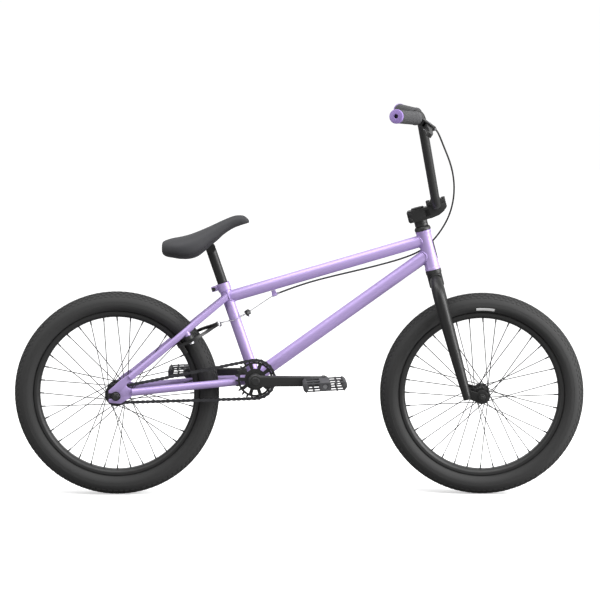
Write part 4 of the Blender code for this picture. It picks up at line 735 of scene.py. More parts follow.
def toothed_outline(teeth, pitch_radius, first_tooth, root, tip):
    """A sprocket's outline: each tooth rises between two round seats for the rollers."""
    outline = []
    step = 2 * math.pi / teeth
    rows = ((root, 0.003), (root + 0.0008, 0.0029), (pitch_radius - 0.0008, 0.0023),
            (tip - 0.0012, 0.0013), (tip, 0.0006))
    for i in range(teeth):
        middle = first_tooth + i * step
        for sign, order in ((-1, rows), (1, rows[::-1])):
            for radius, half in order:
                turn = middle + sign * min(half / radius, 0.26 * step * 0.8)
                outline.append((radius * math.cos(turn), radius * math.sin(turn)))
    return outline


loop_scale = loop_pitches / CHAIN_LINKS
sprocket_tooth = SPROCKET_START - 0.5 * 2 * math.pi / SPROCKET_TEETH * loop_scale
driver_entry = sprocket_pitches + straight_pitches
first_gap = (math.ceil(driver_entry / loop_scale) + 0.5) * loop_scale - driver_entry
driver_tooth = DRIVER_START - first_gap * 2 * math.pi / DRIVER_TEETH
windows = []
for i in range(10):
    turn = 90 + i * 36
    windows.append(arc((0.0, 0.0), 0.027, turn - 9, turn + 9, 6) + arc((0.0, 0.0), 0.039, turn + 11,
                                                                        turn - 11, 8))
outline = toothed_outline(SPROCKET_TEETH, sprocket_r, sprocket_tooth, sprocket_r - 0.0046,
                          sprocket_r + 0.0027)
sprocket = Shape()
sprocket.plate(outline, windows + [circle(0.0128, 48)], -CHAIN_LINE - 0.0017, -CHAIN_LINE + 0.0017,
               side_plane(BOTTOM_BRACKET))
sprocket.piece("sprocket_fine", "crank", "black_satin", "sprocket", bevel=0.0003, segments=1)
boss = Shape()
boss.turned([(0.0205, -0.0464), (0.0215, -0.0472), (0.0215, -0.0482), (0.013, -0.0482),
             (0.013, -0.0464)], 64, bb_frame, closed=True)
boss.piece("sprocket_boss", "crank", "black_satin")
outline = toothed_outline(DRIVER_TEETH, driver_r, driver_tooth, driver_r - 0.0046, driver_r + 0.0026)
driver = Shape()
driver.plate(outline, [circle(0.0073, 32)], -CHAIN_LINE - 0.0017, -CHAIN_LINE + 0.0017,
             side_plane(REAR_AXLE))
driver.turned([(0.0073, -0.0515), (0.0108, -0.0515), (0.0118, -0.0505), (0.0118, -0.0405),
               (0.0073, -0.0405)], 48, rear_axle_frame, closed=True)
driver.piece("driver_fine", "driver", "chain_steel", "driver")

# ---------------------------------------------------------------- rear brake
BRAKE_HALF_SPACING = 0.0435
ARM_THICK = 0.007
STUD_WAY = -Vector(JOINTS["brake_arm_left_close"]["axis"])
brake_middle = Vector(JOINTS["brake_arm_left_close"]["pos_m"]) - LEFT * BRAKE_HALF_SPACING
arm_frame = axes_matrix(brake_middle, LEFT, STUD_WAY)
for side, sign in SIDES:
    body = f"brake_arm_{side}"
    refined(body, body, "black_satin", 0.0012, segments=3)
    low = 0.0004 if side == "right" else -0.0004 - ARM_THICK
    high = low + ARM_THICK
    post_frame = arm_frame @ Matrix.Translation((sign * BRAKE_HALF_SPACING, 0.0, 0.0))
    post = Shape().turned([(0.0075, -0.0215), (0.0075, low - 0.0009), (0.0069, low - 0.0003),
                           (0.004, low - 0.0003), (0.004, high + 0.0003)], 40, post_frame)
    post.piece(f"brake_post_{side}_fine", "frame", "lilac_paint", f"brake_post_{side}")
    bolt = Shape().turned([(0.0078, high + 0.0003), (0.0078, high + 0.0013)], 36, post_frame)
    bolt.turned([(0.006, high + 0.0013), (0.006, high + 0.0042), (0.0052, high + 0.0048)], 6, post_frame)
    bolt.piece(f"brake_bolt_{side}", "frame", "steel")
    cover = [(0.01, low - 0.0108), (0.0113, low - 0.0098), (0.0113, low - 0.001), (0.0104, low - 0.0003)]
    Shape().turned(cover, 40, post_frame).piece(f"brake_spring_cover_{side}", "frame", "black_satin")
    # The rubber block wraps the arm's plain pad, which the model holds at the same place.
    pad_point = arm_frame @ Vector((0.0, -0.0294, (low + high) / 2))
    pad_frame = axes_matrix(pad_point, LEFT, LEFT.cross((pad_point - REAR_AXLE).normalized()))
    near, far = sorted((sign * 0.0199, sign * 0.0272))
    pad = Shape().box((near, -0.0049, -0.025), (far, 0.0049, 0.025), pad_frame)
    pad.piece(f"brake_pad_{side}", body, "pad_rubber", bevel=0.0014, segments=3)
    anchor_spot = (-sign * 0.0243, 0.0805)
    anchor_frame = arm_frame @ Matrix.Translation((*anchor_spot, 0.0))
    anchor = Shape().turned([(0.0042, low - 0.0008), (0.0042, high + 0.0008)], 28, anchor_frame)
    anchor.turned([(0.0036, high + 0.0008), (0.0036, high + 0.0034), (0.003, high + 0.0039)], 6,
                  anchor_frame)
    anchor.piece(f"brake_anchor_{side}", body, "steel")

CABLE_STOP = Vector((-0.0653, 0.0, 0.5089))
YOKE = Vector((-0.133, 0.0, 0.463))
pull_way = Vector(JOINTS["yoke_slide"]["axis"])
refined("yoke", "yoke", "black_satin", 0.0008)
yoke_frame = axes_matrix(YOKE, LEFT, LEFT.cross(pull_way))
yoke_barrel = Shape().turned([(0.006, -0.007), (0.0066, -0.0064), (0.0066, 0.0064), (0.006, 0.007)],
                             36, yoke_frame)
yoke_barrel.piece("yoke_barrel", "yoke", "black_satin")
yoke_bolt = Shape().turned([(0.0046, 0.007), (0.0046, 0.0098), (0.004, 0.0104)], 6, yoke_frame)
yoke_bolt.piece("yoke_bolt", "yoke", "steel")
beside = BOTTOM_BRACKET + seat_up * 0.156
pull_sign = 1 if (yoke_frame.to_3x3() @ Vector((0.0, 1.0, 0.0))).dot(pull_way) > 0 else -1
straddle_knots = [
    arm_frame @ Vector((0.0246, 0.0838, 0.004)),
    Vector((beside.x - 0.004, 0.0172, beside.z - 0.002)),
    yoke_frame @ Vector((0.0118, -0.0085 * pull_sign, 0.0)),
    yoke_frame @ Vector((-0.0118, -0.0085 * pull_sign, 0.0)),
    Vector((beside.x - 0.004, -0.0172, beside.z - 0.002)),
    arm_frame @ Vector((-0.0246, 0.0838, -0.004)),
]
straddle = Shape().swept(rounded_path(straddle_knots, [0.02, 0.004, 0.004, 0.02], 10), 0.0009, 12)
straddle.piece("straddle_wire_fine", "yoke", "steel", "straddle_wire")
wire = Shape().swept([CABLE_STOP, CABLE_STOP.lerp(YOKE, 0.5), YOKE - pull_way * 0.012], 0.0009, 12)
wire.piece("brake_cable_fine", "yoke", "steel", "brake_cable")
refined("cable_stop", "frame", "lilac_paint", 0.0005)

# ---------------------------------------------------------------- fork, headset and stem
STEM_LOW = HEAD_LENGTH + 0.0265
STEM_HIGH = STEM_LOW + 0.03
FORK_OFFSET = 0.041
AXLE_BELOW_HEAD = 0.3376
LEG_KNOTS = (
    (0.0, 0.012, -0.026), (0.0, 0.029, -0.037), (0.0, 0.0455, -0.054),
    (0.0, 0.0525, -0.08), (0.0005, 0.053, -0.14), (0.002, 0.053, -0.24),
    (0.004, 0.053, -0.335),
)
LEG_RADII = (0.0145, 0.0155, 0.016, 0.016, 0.0153, 0.013, 0.01)


def spread_radii(radii, count):
    """Radii along a path of count points, read evenly from the few given."""
    found = []
    for i in range(count):
        place = (len(radii) - 1) * i / (count - 1)
        k = min(int(place), len(radii) - 2)
        found.append(radii[k] + (radii[k + 1] - radii[k]) * (place - k))
    return found


fork = Shape()
fork.turned([(0.0165, -0.0445), (0.0182, -0.0436), (0.0188, -0.042), (0.0188, -0.0132),
             (0.018, -0.0125)], 64, steer_frame)
crown_loops = []
for side, sign in SIDES:
    knots = [steer_frame @ Vector((n, sign * y, s)) for n, y, s in LEG_KNOTS]
    path = smooth_path(knots, 48)
    radii = spread_radii(LEG_RADII, 48)
    fork.swept(path, radii, 40, Vector((1, 0, 0)))
    start = path[6]
    crown_loops.append(meeting_loop(start, path[0] - start, 0.015, HEAD_BOTTOM, STEERING_UP, 0.0188,
                                    towards=-1))
fork.piece("fork_legs", "fork", "black_paint", "fork", smooth=45)
steerer = Shape().turned([(STEERER_R, -0.012), (STEERER_R, STEM_HIGH - 0.002)], 48, steer_frame)
steerer.piece("steerer", "fork", "black_satin")
weld("fork_welds", "fork", "black_paint", crown_loops, 0.0019)
blades = Shape()
for side, sign in SIDES:
    boss = arc((FORK_OFFSET, -AXLE_BELOW_HEAD), 0.016, 125, -68, 24)
    slot_right = [(FORK_OFFSET + 0.0052, -AXLE_BELOW_HEAD - 0.0152)]
    slot = arc((FORK_OFFSET, -AXLE_BELOW_HEAD), 0.0052, 0, 180, 16)
    slot_left = [(FORK_OFFSET - 0.0052, -AXLE_BELOW_HEAD - 0.0152)]
    back = [(0.024, -0.346), (0.004, -0.333), (0.004, -0.308)]
    low, high = sorted((-sign * FRONT_DROPOUT_Y, -sign * (FRONT_DROPOUT_Y + DROPOUT_THICK)))
    outline = boss + slot_right + slot + slot_left + back
    blades.plate(outline, [], low, high, steer_frame @ side_plane(Vector((0, 0, 0))))
blades.piece("fork_dropouts", "fork", "black_paint", bevel=0.0009)

front_axle_frame = axes_matrix(FRONT_AXLE, Vector((1, 0, 0)), steer_frame.to_3x3() @ LEFT)
front_outside = FRONT_DROPOUT_Y + DROPOUT_THICK + 0.0003
axle = Shape().turned([(0.0046, -front_outside), (0.0046, front_outside)], 32, front_axle_frame)
for side, sign in SIDES:
    axle_end(axle, sign, front_outside, 0.0088, 0.0072, 0.0046, 0.07, front_axle_frame)
axle.piece("front_axle_fine", "fork", "black_satin", "front_axle", smooth=32)

lower_profile = [
    (0.0194, -0.0004), (0.02, -0.001), (0.02, -0.0058), (0.0196, -0.0062), (0.02, -0.0066),
    (0.02, -0.0092), (0.0188, -0.012), (0.0149, -0.012), (0.0149, -0.0004),
]
lower = Shape().turned(lower_profile, 64, straight_frame, closed=True)
lower.piece("headset_lower_fine", "frame", "black_satin", "headset_lower")
cover_profile = [
    (0.0147, HEAD_LENGTH + 0.0004), (0.02, HEAD_LENGTH + 0.0004), (0.0206, HEAD_LENGTH + 0.001),
    (0.0206, HEAD_LENGTH + 0.0056), (0.0198, HEAD_LENGTH + 0.0078), (0.018, HEAD_LENGTH + 0.0103),
    (0.0163, HEAD_LENGTH + 0.0114), (0.0158, HEAD_LENGTH + 0.0118), (0.0164, HEAD_LENGTH + 0.0122),
]
for spacer in range(2):
    base = HEAD_LENGTH + 0.0122 + spacer * 0.007
    cover_profile += [(0.0168, base + 0.0004), (0.0168, base + 0.0064), (0.0163, base + 0.007)]
cover_profile += [(0.0163, STEM_LOW - 0.0002), (0.0147, STEM_LOW - 0.0002)]
cover = Shape().turned(cover_profile, 64, steer_frame, closed=True)
cover.piece("headset_cover_fine", "fork", "black_satin", "headset_top_cover")

BAR_N = 0.0486
BAR_S = 0.1595
STEM_HALF = 0.024
stem_outline = [
    (-0.029, STEM_LOW + 0.004), (-0.025, STEM_LOW), (0.03, STEM_LOW), (0.05, STEM_LOW + 0.003),
    (0.064, STEM_LOW + 0.01), (0.0735, STEM_LOW + 0.019), (0.0735, BAR_S - 0.001),
    (0.032, BAR_S - 0.001), (0.029, STEM_HIGH), (-0.026, STEM_HIGH), (-0.029, STEM_HIGH - 0.003),
]
middle_plane = steer_frame @ side_plane(Vector((0, 0, 0)))
stem = Shape().plate(stem_outline, [], -STEM_HALF, STEM_HALF, middle_plane)
stem_piece = stem.piece("stem_fine", "fork", "black_satin", "stem")
cut(stem_piece, Shape().box((-0.04, -0.0012, 0.0), (-0.012, 0.0012, 0.2), steer_frame))
cut(stem_piece, Shape().turned([(STEERER_R + 0.0004, STEM_LOW - 0.01),
                                (STEERER_R + 0.0004, STEM_HIGH + 0.01)], 64, steer_frame))
for side, sign in SIDES:
    pocket = [(0.016, STEM_LOW + 0.007), (0.029, STEM_LOW + 0.008), (0.027, STEM_HIGH - 0.006),
              (0.016, STEM_HIGH - 0.006)]
    near, far = sorted((-sign * 0.019, -sign * 0.03))
    cut(stem_piece, Shape().plate(pocket, [], near, far, middle_plane))
settle(stem_piece, "fork", "black_satin", ("stem",), bevel=0.0012, segments=3)
cap_outline = [
    (0.024, BAR_S + 0.001), (0.0735, BAR_S + 0.001), (0.0735, BAR_S + 0.008), (0.064, BAR_S + 0.01),
    (0.057, BAR_S + 0.0165), (0.04, BAR_S + 0.0165), (0.033, BAR_S + 0.01), (0.024, BAR_S + 0.008),
]
cap = Shape().plate(cap_outline, [], -STEM_HALF, STEM_HALF, middle_plane)
cap.piece("stem_clamp_plate_fine", "fork", "black_satin", "stem_clamp_plate", bevel=0.0014, segments=3)
stem_bolts = Shape()
socket_looks = Shape()
for n in (0.0286, 0.069):
    for y in (-0.0165, 0.0165):
        spot = steer_frame @ Matrix.Translation((n, y, 0.0))
        top = BAR_S + 0.008
        stem_bolts.turned([(0.0046, top - 0.001), (0.0046, top + 0.0038), (0.004, top + 0.0044)], 32, spot)
        socket_looks.turned([(0.0022, top + 0.0043), (0.0022, top + 0.0046)], 6, spot)
for height in (STEM_LOW + 0.008, STEM_HIGH - 0.008):
    spot = steer_frame @ axes_matrix((-0.0225, 0.0, height), Vector((1, 0, 0)), -LEFT)
    stem_bolts.turned([(0.0042, 0.02), (0.0042, 0.0252), (0.0037, 0.0257)], 32, spot)
    socket_looks.turned([(0.002, 0.0256), (0.002, 0.0259)], 6, spot)
stem_bolts.piece("stem_bolts", "fork", "black_paint")
socket_looks.piece("stem_bolt_sockets", "fork", "chain_steel")
cap_profile = [
    (0.0155, STEM_HIGH + 0.0004), (0.0165, STEM_HIGH + 0.0012), (0.0163, STEM_HIGH + 0.0034),
    (0.0152, STEM_HIGH + 0.0042), (0.007, STEM_HIGH + 0.0043), (0.0062, STEM_HIGH + 0.002),
    (0.006, STEM_HIGH + 0.0044), (0.001, STEM_HIGH + 0.0046),
]
Shape().turned(cap_profile, 64, steer_frame).piece("stem_top_cap_fine", "fork", "black_satin",
                                                   "stem_top_cap")

# ---------------------------------------------------------------- handlebar, grips and lever
BEND = Vector((0.066, 0.183, 0.3795))
BAR_TIP = Vector((0.0125, 0.357, 0.404))
grip_way = (BAR_TIP - BEND).normalized()
low_corner = Vector((BAR_N, 0.072, BAR_S))
half = rounded_path([Vector((BAR_N, 0.0, BAR_S)), low_corner, BEND, BEND + grip_way * 0.178],
                    [0.045, 0.042], 16)[1:]
bar_path = [steer_frame @ Vector((p.x, -p.y, p.z)) for p in reversed(half)] + [steer_frame @ p for p in half]
bars = Shape().swept(bar_path, BAR_R, 36, Vector((1, 0, 0)))
cross = low_corner.lerp(BEND, 0.5)
cross_ends = [steer_frame @ Vector((cross.x, sign * cross.y, cross.z)) for side, sign in SIDES]
bars.swept([cross_ends[0], cross_ends[0].lerp(cross_ends[1], 0.5), cross_ends[1]], 0.008, 32,
           Vector((1, 0, 0)))
bars.piece("handlebar_fine", "fork", "black_satin", "handlebar", smooth=45)
bar_welds = []
for end, other, sign in ((cross_ends[0], cross_ends[1], -1), (cross_ends[1], cross_ends[0], 1)):
    leg_way = steer_frame.to_3x3() @ Vector((BEND.x - BAR_N, sign * (BEND.y - 0.072), BEND.z - BAR_S))
    bar_welds.append(meeting_loop(end.lerp(other, 0.3), end - other, 0.008, end, leg_way, BAR_R,
                                  towards=-1))
weld("handlebar_welds", "fork", "black_satin", bar_welds, 0.0016)

GRIP_START = 0.042
GRIP_END = 0.1785
for side, sign in SIDES:
    way = Vector((grip_way.x, sign * grip_way.y, grip_way.z))
    grip_frame = steer_frame @ axes_matrix(Vector((BEND.x, sign * BEND.y, BEND.z)), Vector((0, 0, 1)), way)
    profile = [
        (BAR_R + 0.0002, GRIP_START), (0.016, GRIP_START), (0.0168, GRIP_START + 0.0008),
        (0.0168, GRIP_START + 0.0028), (0.0158, GRIP_START + 0.0038), (0.0148, GRIP_START + 0.005),
    ]
    height = GRIP_START + 0.006
    while height < GRIP_END - 0.005:
        profile += [(0.0146, height), (0.0158, height + 0.0006), (0.0158, height + 0.0016),
                    (0.0146, height + 0.0022)]
        height += 0.0031
    profile += [(0.015, GRIP_END - 0.0022), (0.016, GRIP_END - 0.0012), (0.016, GRIP_END),
                (BAR_R + 0.0002, GRIP_END)]
    grip = Shape().turned(profile, 56, grip_frame, closed=True)
    grip.piece(f"grip_{side}_fine", "fork", "grip_rubber", f"grip_{side}", smooth=30)
    profile = [
        (0.0085, GRIP_END - 0.018), (0.0085, GRIP_END + 0.0004), (0.0162, GRIP_END + 0.0004),
        (0.0168, GRIP_END + 0.0012), (0.0168, GRIP_END + 0.0058), (0.0162, GRIP_END + 0.0072),
        (0.0148, GRIP_END + 0.0078), (0.0062, GRIP_END + 0.0078), (0.0052, GRIP_END + 0.007),
        (0.0052, GRIP_END - 0.018),
    ]
    plug = Shape().turned(profile, 64, grip_frame, closed=True)
    plug.piece(f"bar_end_{side}_fine", "fork", "purple_plastic", f"bar_end_{side}")
    hole = Shape().turned([(0.0051, GRIP_END - 0.01), (0.0051, GRIP_END + 0.001)], 32, grip_frame)
    hole.piece(f"bar_end_hole_{side}", "fork", "black_plastic")

refined("lever_bracket", "fork", "black_satin", 0.0008)
refined("brake_lever", "brake_lever", "black_satin", 0.0022, segments=4)
way = Vector((grip_way.x, -grip_way.y, grip_way.z))
lever_base = Vector((BEND.x, -BEND.y, BEND.z)) + way * 0.032
lever_out = Vector((0.669, 0.0, -0.743))
lever_out = (lever_out - lever_out.dot(way) * way).normalized()
lever_frame = steer_frame @ axes_matrix(lever_base, way, way.cross(lever_out))
adjuster_frame = lever_frame @ axes_matrix((0.0, 0.043, 0.0), Vector((0, 0, 1)), Vector((1, 0, 0)))
knurl = []
for i in range(9):
    knurl += [(0.005, -0.0235 + i * 0.0012), (0.0045, -0.0229 + i * 0.0012)]
adjuster = Shape().turned([(0.003, -0.033), (0.0038, -0.0324),
                           (0.0038, -0.024)] + knurl + [(0.004, -0.012)], 24, adjuster_frame)
adjuster.piece("lever_adjuster", "fork", "chain_steel", smooth=30)
pivot_frame = lever_frame @ axes_matrix((0.001, 0.032, 0.0), Vector((1, 0, 0)), Vector((0, 0, 1)))
pivot = Shape().turned([(0.0042, 0.0087), (0.0042, 0.0108), (0.0036, 0.0113)], 28, pivot_frame)
pivot.turned([(0.0042, -0.0087), (0.0042, -0.0108), (0.0036, -0.0113)], 28, pivot_frame)
pivot.piece("lever_pivot_screw", "fork", "steel")

housing_way = Vector((0.0177, 0.0, 0.0066)).normalized()
HOUSING_KNOTS = (
    (0.3245, -0.181, 0.9235), (0.3325, -0.162, 0.909), (0.342, -0.144, 0.889),
    (0.354, -0.123, 0.865), (0.3672, -0.1, 0.8433), (0.3781, -0.07, 0.8085),
    (0.3833, -0.045, 0.7763), (0.3827, -0.022, 0.7439), (0.3767, -0.002, 0.7112),
    (0.3653, 0.013, 0.6842), (0.344, 0.0255, 0.65), (0.3223, 0.0262, 0.6287), (0.301, 0.0215, 0.613),
    (0.2522, 0.011, 0.596), (0.1758, 0.003, 0.577), (0.0708, 0.0, 0.5545), (0.0337, 0.0, 0.5443),
    (-0.0099, 0.0, 0.5306),
)
housing_knots = [lever_frame @ Vector((-0.024, 0.043, 0.0)), lever_frame @ Vector((-0.036, 0.043, 0.0))]
housing_knots += [Vector(knot) for knot in HOUSING_KNOTS]
housing_knots += [CABLE_STOP + housing_way * 0.025, CABLE_STOP + housing_way * 0.001]
housing_path = smooth_path(housing_knots, 260)
HOUSING_HELD = 9                # points at each end that keep their place while the rest is smoothed
for _ in range(260):
    loose = range(HOUSING_HELD, len(housing_path) - HOUSING_HELD)
    eased = [(housing_path[i - 1] + 2 * housing_path[i] + housing_path[i + 1]) / 4 for i in loose]
    housing_path[HOUSING_HELD:-HOUSING_HELD] = eased
housing = Shape().swept(housing_path, 0.0022, 14)
housing_piece = housing.piece("brake_housing_fine", None, "cable_housing", "brake_housing")
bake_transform(housing_piece)
ferrule = Shape().turned([(0.0029, -0.001), (0.0029, 0.012), (0.0025, 0.0126)], 28,
                         axes_matrix(CABLE_STOP, LEFT, housing_way))
ferrule.piece("housing_ferrule", "frame", "steel")

# ---------------------------------------------------------------- wheels
SPOKES_PER_SIDE = 18
TYRE_SECTION = (
    # radius, half width
    (0.2036, 0.0106), (0.206, 0.0118), (0.2092, 0.0128), (0.2104, 0.015), (0.213, 0.0196),
    (0.2165, 0.0238), (0.2205, 0.0268), (0.225, 0.0282), (0.23, 0.0285), (0.235, 0.0278),
    (0.24, 0.0258), (0.245, 0.0222), (0.2495, 0.0172), (0.253, 0.0118), (0.2552, 0.006),
)


def block_row(shape, y_low, y_high, count, cover, lift, phase, where):
    """A ring of low tread blocks between two places across the tyre."""
    def surface(y):
        for (r0, y0), (r1, y1) in zip(TYRE_SECTION[8:], TYRE_SECTION[9:] + ((0.256, 0.0),)):
            if y1 <= abs(y) <= y0:
                return r1 + (r0 - r1) * (abs(y) - y1) / (y0 - y1)
        return 0.256
    for i in range(count):
        middle = 2 * math.pi * (i + phase) / count
        half = math.pi / count * cover
        corners = []
        for y in (y_low, y_high):
            base = surface(y) - 0.0006
            tip = min(surface(y) + lift, WHEEL_RADIUS - 0.00005)
            for radius, width in ((base, half), (tip, half * 0.86)):
                for turn in (middle - width, middle + width):
                    corners.append((radius * math.cos(turn), radius * math.sin(turn), y))
        faces = [(0, 1, 3, 2), (4, 6, 7, 5), (0, 4, 5, 1), (2, 3, 7, 6), (0, 2, 6, 4), (1, 5, 7, 3)]
        shape.add(corners, faces, where)


# Each valve stands behind a piece of the frame: the right seat stay, and the right fork leg.
VALVE_TURN = {"rear": math.radians(-43.7), "front": math.radians(-116.7)}


def make_wheel(which, body, where, bore, flange_r, shell_r, left_end, right_end):
    """One wheel, whose axle is the Z of where: treaded tyre, rim with nipples and valve, spokes, hub."""
    outer = list(TYRE_SECTION) + [(0.256, 0.0)] + [(r, -y) for r, y in reversed(TYRE_SECTION)]
    inner = [(0.2076, -0.0075), (0.2235, -0.0228), (0.252, 0.0), (0.2235, 0.0228), (0.2076, 0.0075)]
    tyre = Shape().turned(outer + inner, 180, where, closed=True)
    tyre.piece(f"{which}_tyre_fine", body, "tyre_rubber", f"{which}_tyre", smooth=50)
    tread = Shape()
    for y, phase in ((-0.003, 0.0), (0.003, 0.5)):
        block_row(tread, y - 0.0024, y + 0.0024, 108, 0.74, 0.0021, phase, where)
    for sign in (-1, 1):
        block_row(tread, *sorted((sign * 0.0072, sign * 0.0112)), 108, 0.7, 0.0021, 0.25, where)
        block_row(tread, *sorted((sign * 0.0128, sign * 0.0166)), 108, 0.66, 0.002, 0.75, where)
        block_row(tread, *sorted((sign * 0.018, sign * 0.0222)), 108, 0.62, 0.0018, 0.25, where)
    tread.piece(f"{which}_tread", body, "tyre_rubber", smooth=20)
    ridges = Shape()
    for sign in (-1, 1):
        for radius, y in ((0.2112, 0.0166), (0.2262, 0.0282), (0.2338, 0.0279)):
            loop = [where @ Vector((radius * math.cos(t), radius * math.sin(t), sign * y))
                    for t in (2 * math.pi * i / 160 for i in range(160))]
            ridges.swept(loop, 0.0005, 6, hint=where.to_3x3() @ Vector((0, 0, 1)), closed=True)
    ridges.piece(f"{which}_tyre_ridges", body, "tyre_rubber")

    half = [
        (RIM_INNER_RADIUS, 0.0088), (RIM_INNER_RADIUS + 0.0008, 0.011), (0.2, 0.0152), (0.2018, 0.0162),
        (0.2036, RIM_HALF_WIDTH), (RIM_OUTER_RADIUS - 0.0008, RIM_HALF_WIDTH), (RIM_OUTER_RADIUS, 0.0157),
        (RIM_OUTER_RADIUS, 0.0144), (0.199, 0.0105),
    ]
    rim = Shape().turned(half + [(r, -y) for r, y in reversed(half)], 180, where, closed=True)
    rim.piece(f"{which}_rim_fine", body, "black_satin", f"{which}_rim")

    profile = [(bore, left_end), (bore + 0.0038, left_end), (bore + 0.0046, left_end - 0.0008),
               (bore + 0.006, 0.0372)]
    profile += [(flange_r - 0.003, 0.0352), (flange_r - 0.0006, 0.035), (flange_r, 0.0344),
                (flange_r, 0.0321)]
    profile += [(flange_r - 0.0006, 0.0315), (shell_r + 0.003, 0.0306), (shell_r + 0.0006, 0.0275)]
    rise = [(bore + 0.006, -0.0372), (bore + 0.0046, right_end + 0.0008), (bore + 0.0038, right_end),
            (bore, right_end)]
    mirrored = [(r, -h) for r, h in reversed(profile[4:])]
    hub = Shape().turned(profile + [(shell_r - 0.0008, 0.012),
                                    (shell_r - 0.0008, -0.012)] + mirrored + rise, 64, where, closed=True)
    hub.piece(f"{which}_hub_fine", body, "black_satin", f"{which}_hub")

    nipples = Shape()
    for side, sign in SIDES:
        spokes = Shape()
        for i in range(SPOKES_PER_SIDE):
            root_turn = 2 * math.pi * (i + (0.5 if side == "right" else 1.0)) / SPOKES_PER_SIDE
            inside = i % 2 == 1
            lean = 1 if inside else -1
            far_turn = root_turn + lean * math.radians(60)
            y_root = 0.0302 if inside else 0.0363
            y_cross = 0.0318 if inside else 0.0346
            root_r = flange_r - 0.0036
            hole = Vector((root_r * math.cos(root_turn), root_r * math.sin(root_turn), sign * y_root))
            back = Vector((hole.x, hole.y, sign * (0.0363 if inside else 0.0302)))
            far_r = RIM_INNER_RADIUS + 0.001
            far = Vector((far_r * math.cos(far_turn), far_r * math.sin(far_turn),
                          sign * (0.0028 if inside else 0.0052)))
            way = (far - hole).normalized()
            bend = hole + way * 0.003
            bend.z = sign * y_root
            middle = hole.lerp(far, 0.22)
            middle.z = sign * (y_cross - 0.22 * 0.024)
            spokes.swept([where @ p for p in (back, hole, bend, far)],
                         [0.0012, 0.00115, 0.0011, 0.0011], 8, Vector((0.3, 0.9, 0.2)))
            spokes.turned([(0.0021, -0.0006), (0.0021, 0.0006)], 12,
                          where @ axes_matrix(back, way, (0, 0, 1)))
            nipple_frame = where @ axes_matrix(far, Vector((0, 0, 1)), -way)
            nipples.turned([(0.0024, -0.001), (0.0022, 0.0012), (0.0019, 0.0018), (0.0018, 0.0105),
                            (0.0014, 0.0115)], 12, nipple_frame)
        spokes.piece(f"{which}_spokes_{side}_fine", body, "spoke_steel", f"{which}_spokes_{side}")
    nipples.piece(f"{which}_nipples", body, "spoke_steel")
    turn = VALVE_TURN[which]
    valve_frame = where @ axes_matrix(
        (RIM_INNER_RADIUS * math.cos(turn), RIM_INNER_RADIUS * math.sin(turn), 0.0),
        Vector((0, 0, 1)),
        (-math.cos(turn), -math.sin(turn), 0.0),
    )
    valve = Shape().turned([(0.0038, -0.004), (0.0036, 0.004), (0.0029, 0.008), (0.0029, 0.024)], 28,
                           valve_frame)
    valve.turned([(0.0039, 0.0232), (0.0041, 0.024), (0.0041, 0.031), (0.0033, 0.033)], 28, valve_frame)
    valve.piece(f"{which}_valve", body, "black_plastic")


def tyre_mark(which, body, where, first, last, steps=24):
    """A plain pale band on the right side of the tyre, with no lettering."""
    skin = ((0.2152, 0.0224), (0.218, 0.025), (0.2205, 0.0269), (0.2218, 0.0273))
    rings = []
    for i in range(steps + 1):
        turn = math.radians(first + (last - first) * i / steps)
        section = [(radius, y + 0.0003) for radius, y in skin] + [(radius, y - 0.0003) for radius,
                                                                  y in reversed(skin)]
        rings.append([(radius * math.cos(turn), radius * math.sin(turn), -y) for radius, y in section])
    Shape().rings(rings, where=where).piece(f"{which}_tyre_mark", body, "label_white")


make_wheel("rear", "rear_wheel", rear_axle_frame, 0.0072, 0.029, 0.019, 0.0515, -0.04)
make_wheel("front", "front_wheel", front_axle_frame, 0.0051, 0.0215, 0.015, 0.0465, -0.0465)
tyre_mark("front", "front_wheel", front_axle_frame, -94.5, -82.5)

# ---------------------------------------------------------------- cranks and pedals
CRANK_HALF_THICK = 0.01
CRANK_BOSS = (0.0172, 0.0143)   # boss radius at the spindle and at the pedal
CRANK_BEAM = (0.0134, 0.0122)   # half height of the beam at each boss
PEDAL_TILT = math.radians(3.5)


def crank_outline(ahead):
    """The crank arm from the side: a round boss at each end and a slimmer beam between them."""
    near_open = math.degrees(math.asin(CRANK_BEAM[0] / CRANK_BOSS[0]))
    far_open = math.degrees(math.asin(CRANK_BEAM[1] / CRANK_BOSS[1]))
    near = arc((0.0, 0.0), CRANK_BOSS[0], near_open, 360 - near_open, 28)
    far = arc((CRANK_LENGTH, 0.0), CRANK_BOSS[1], far_open - 180, 180 - far_open, 24)
    return [(ahead * x, ahead * y) for x, y in near + far]


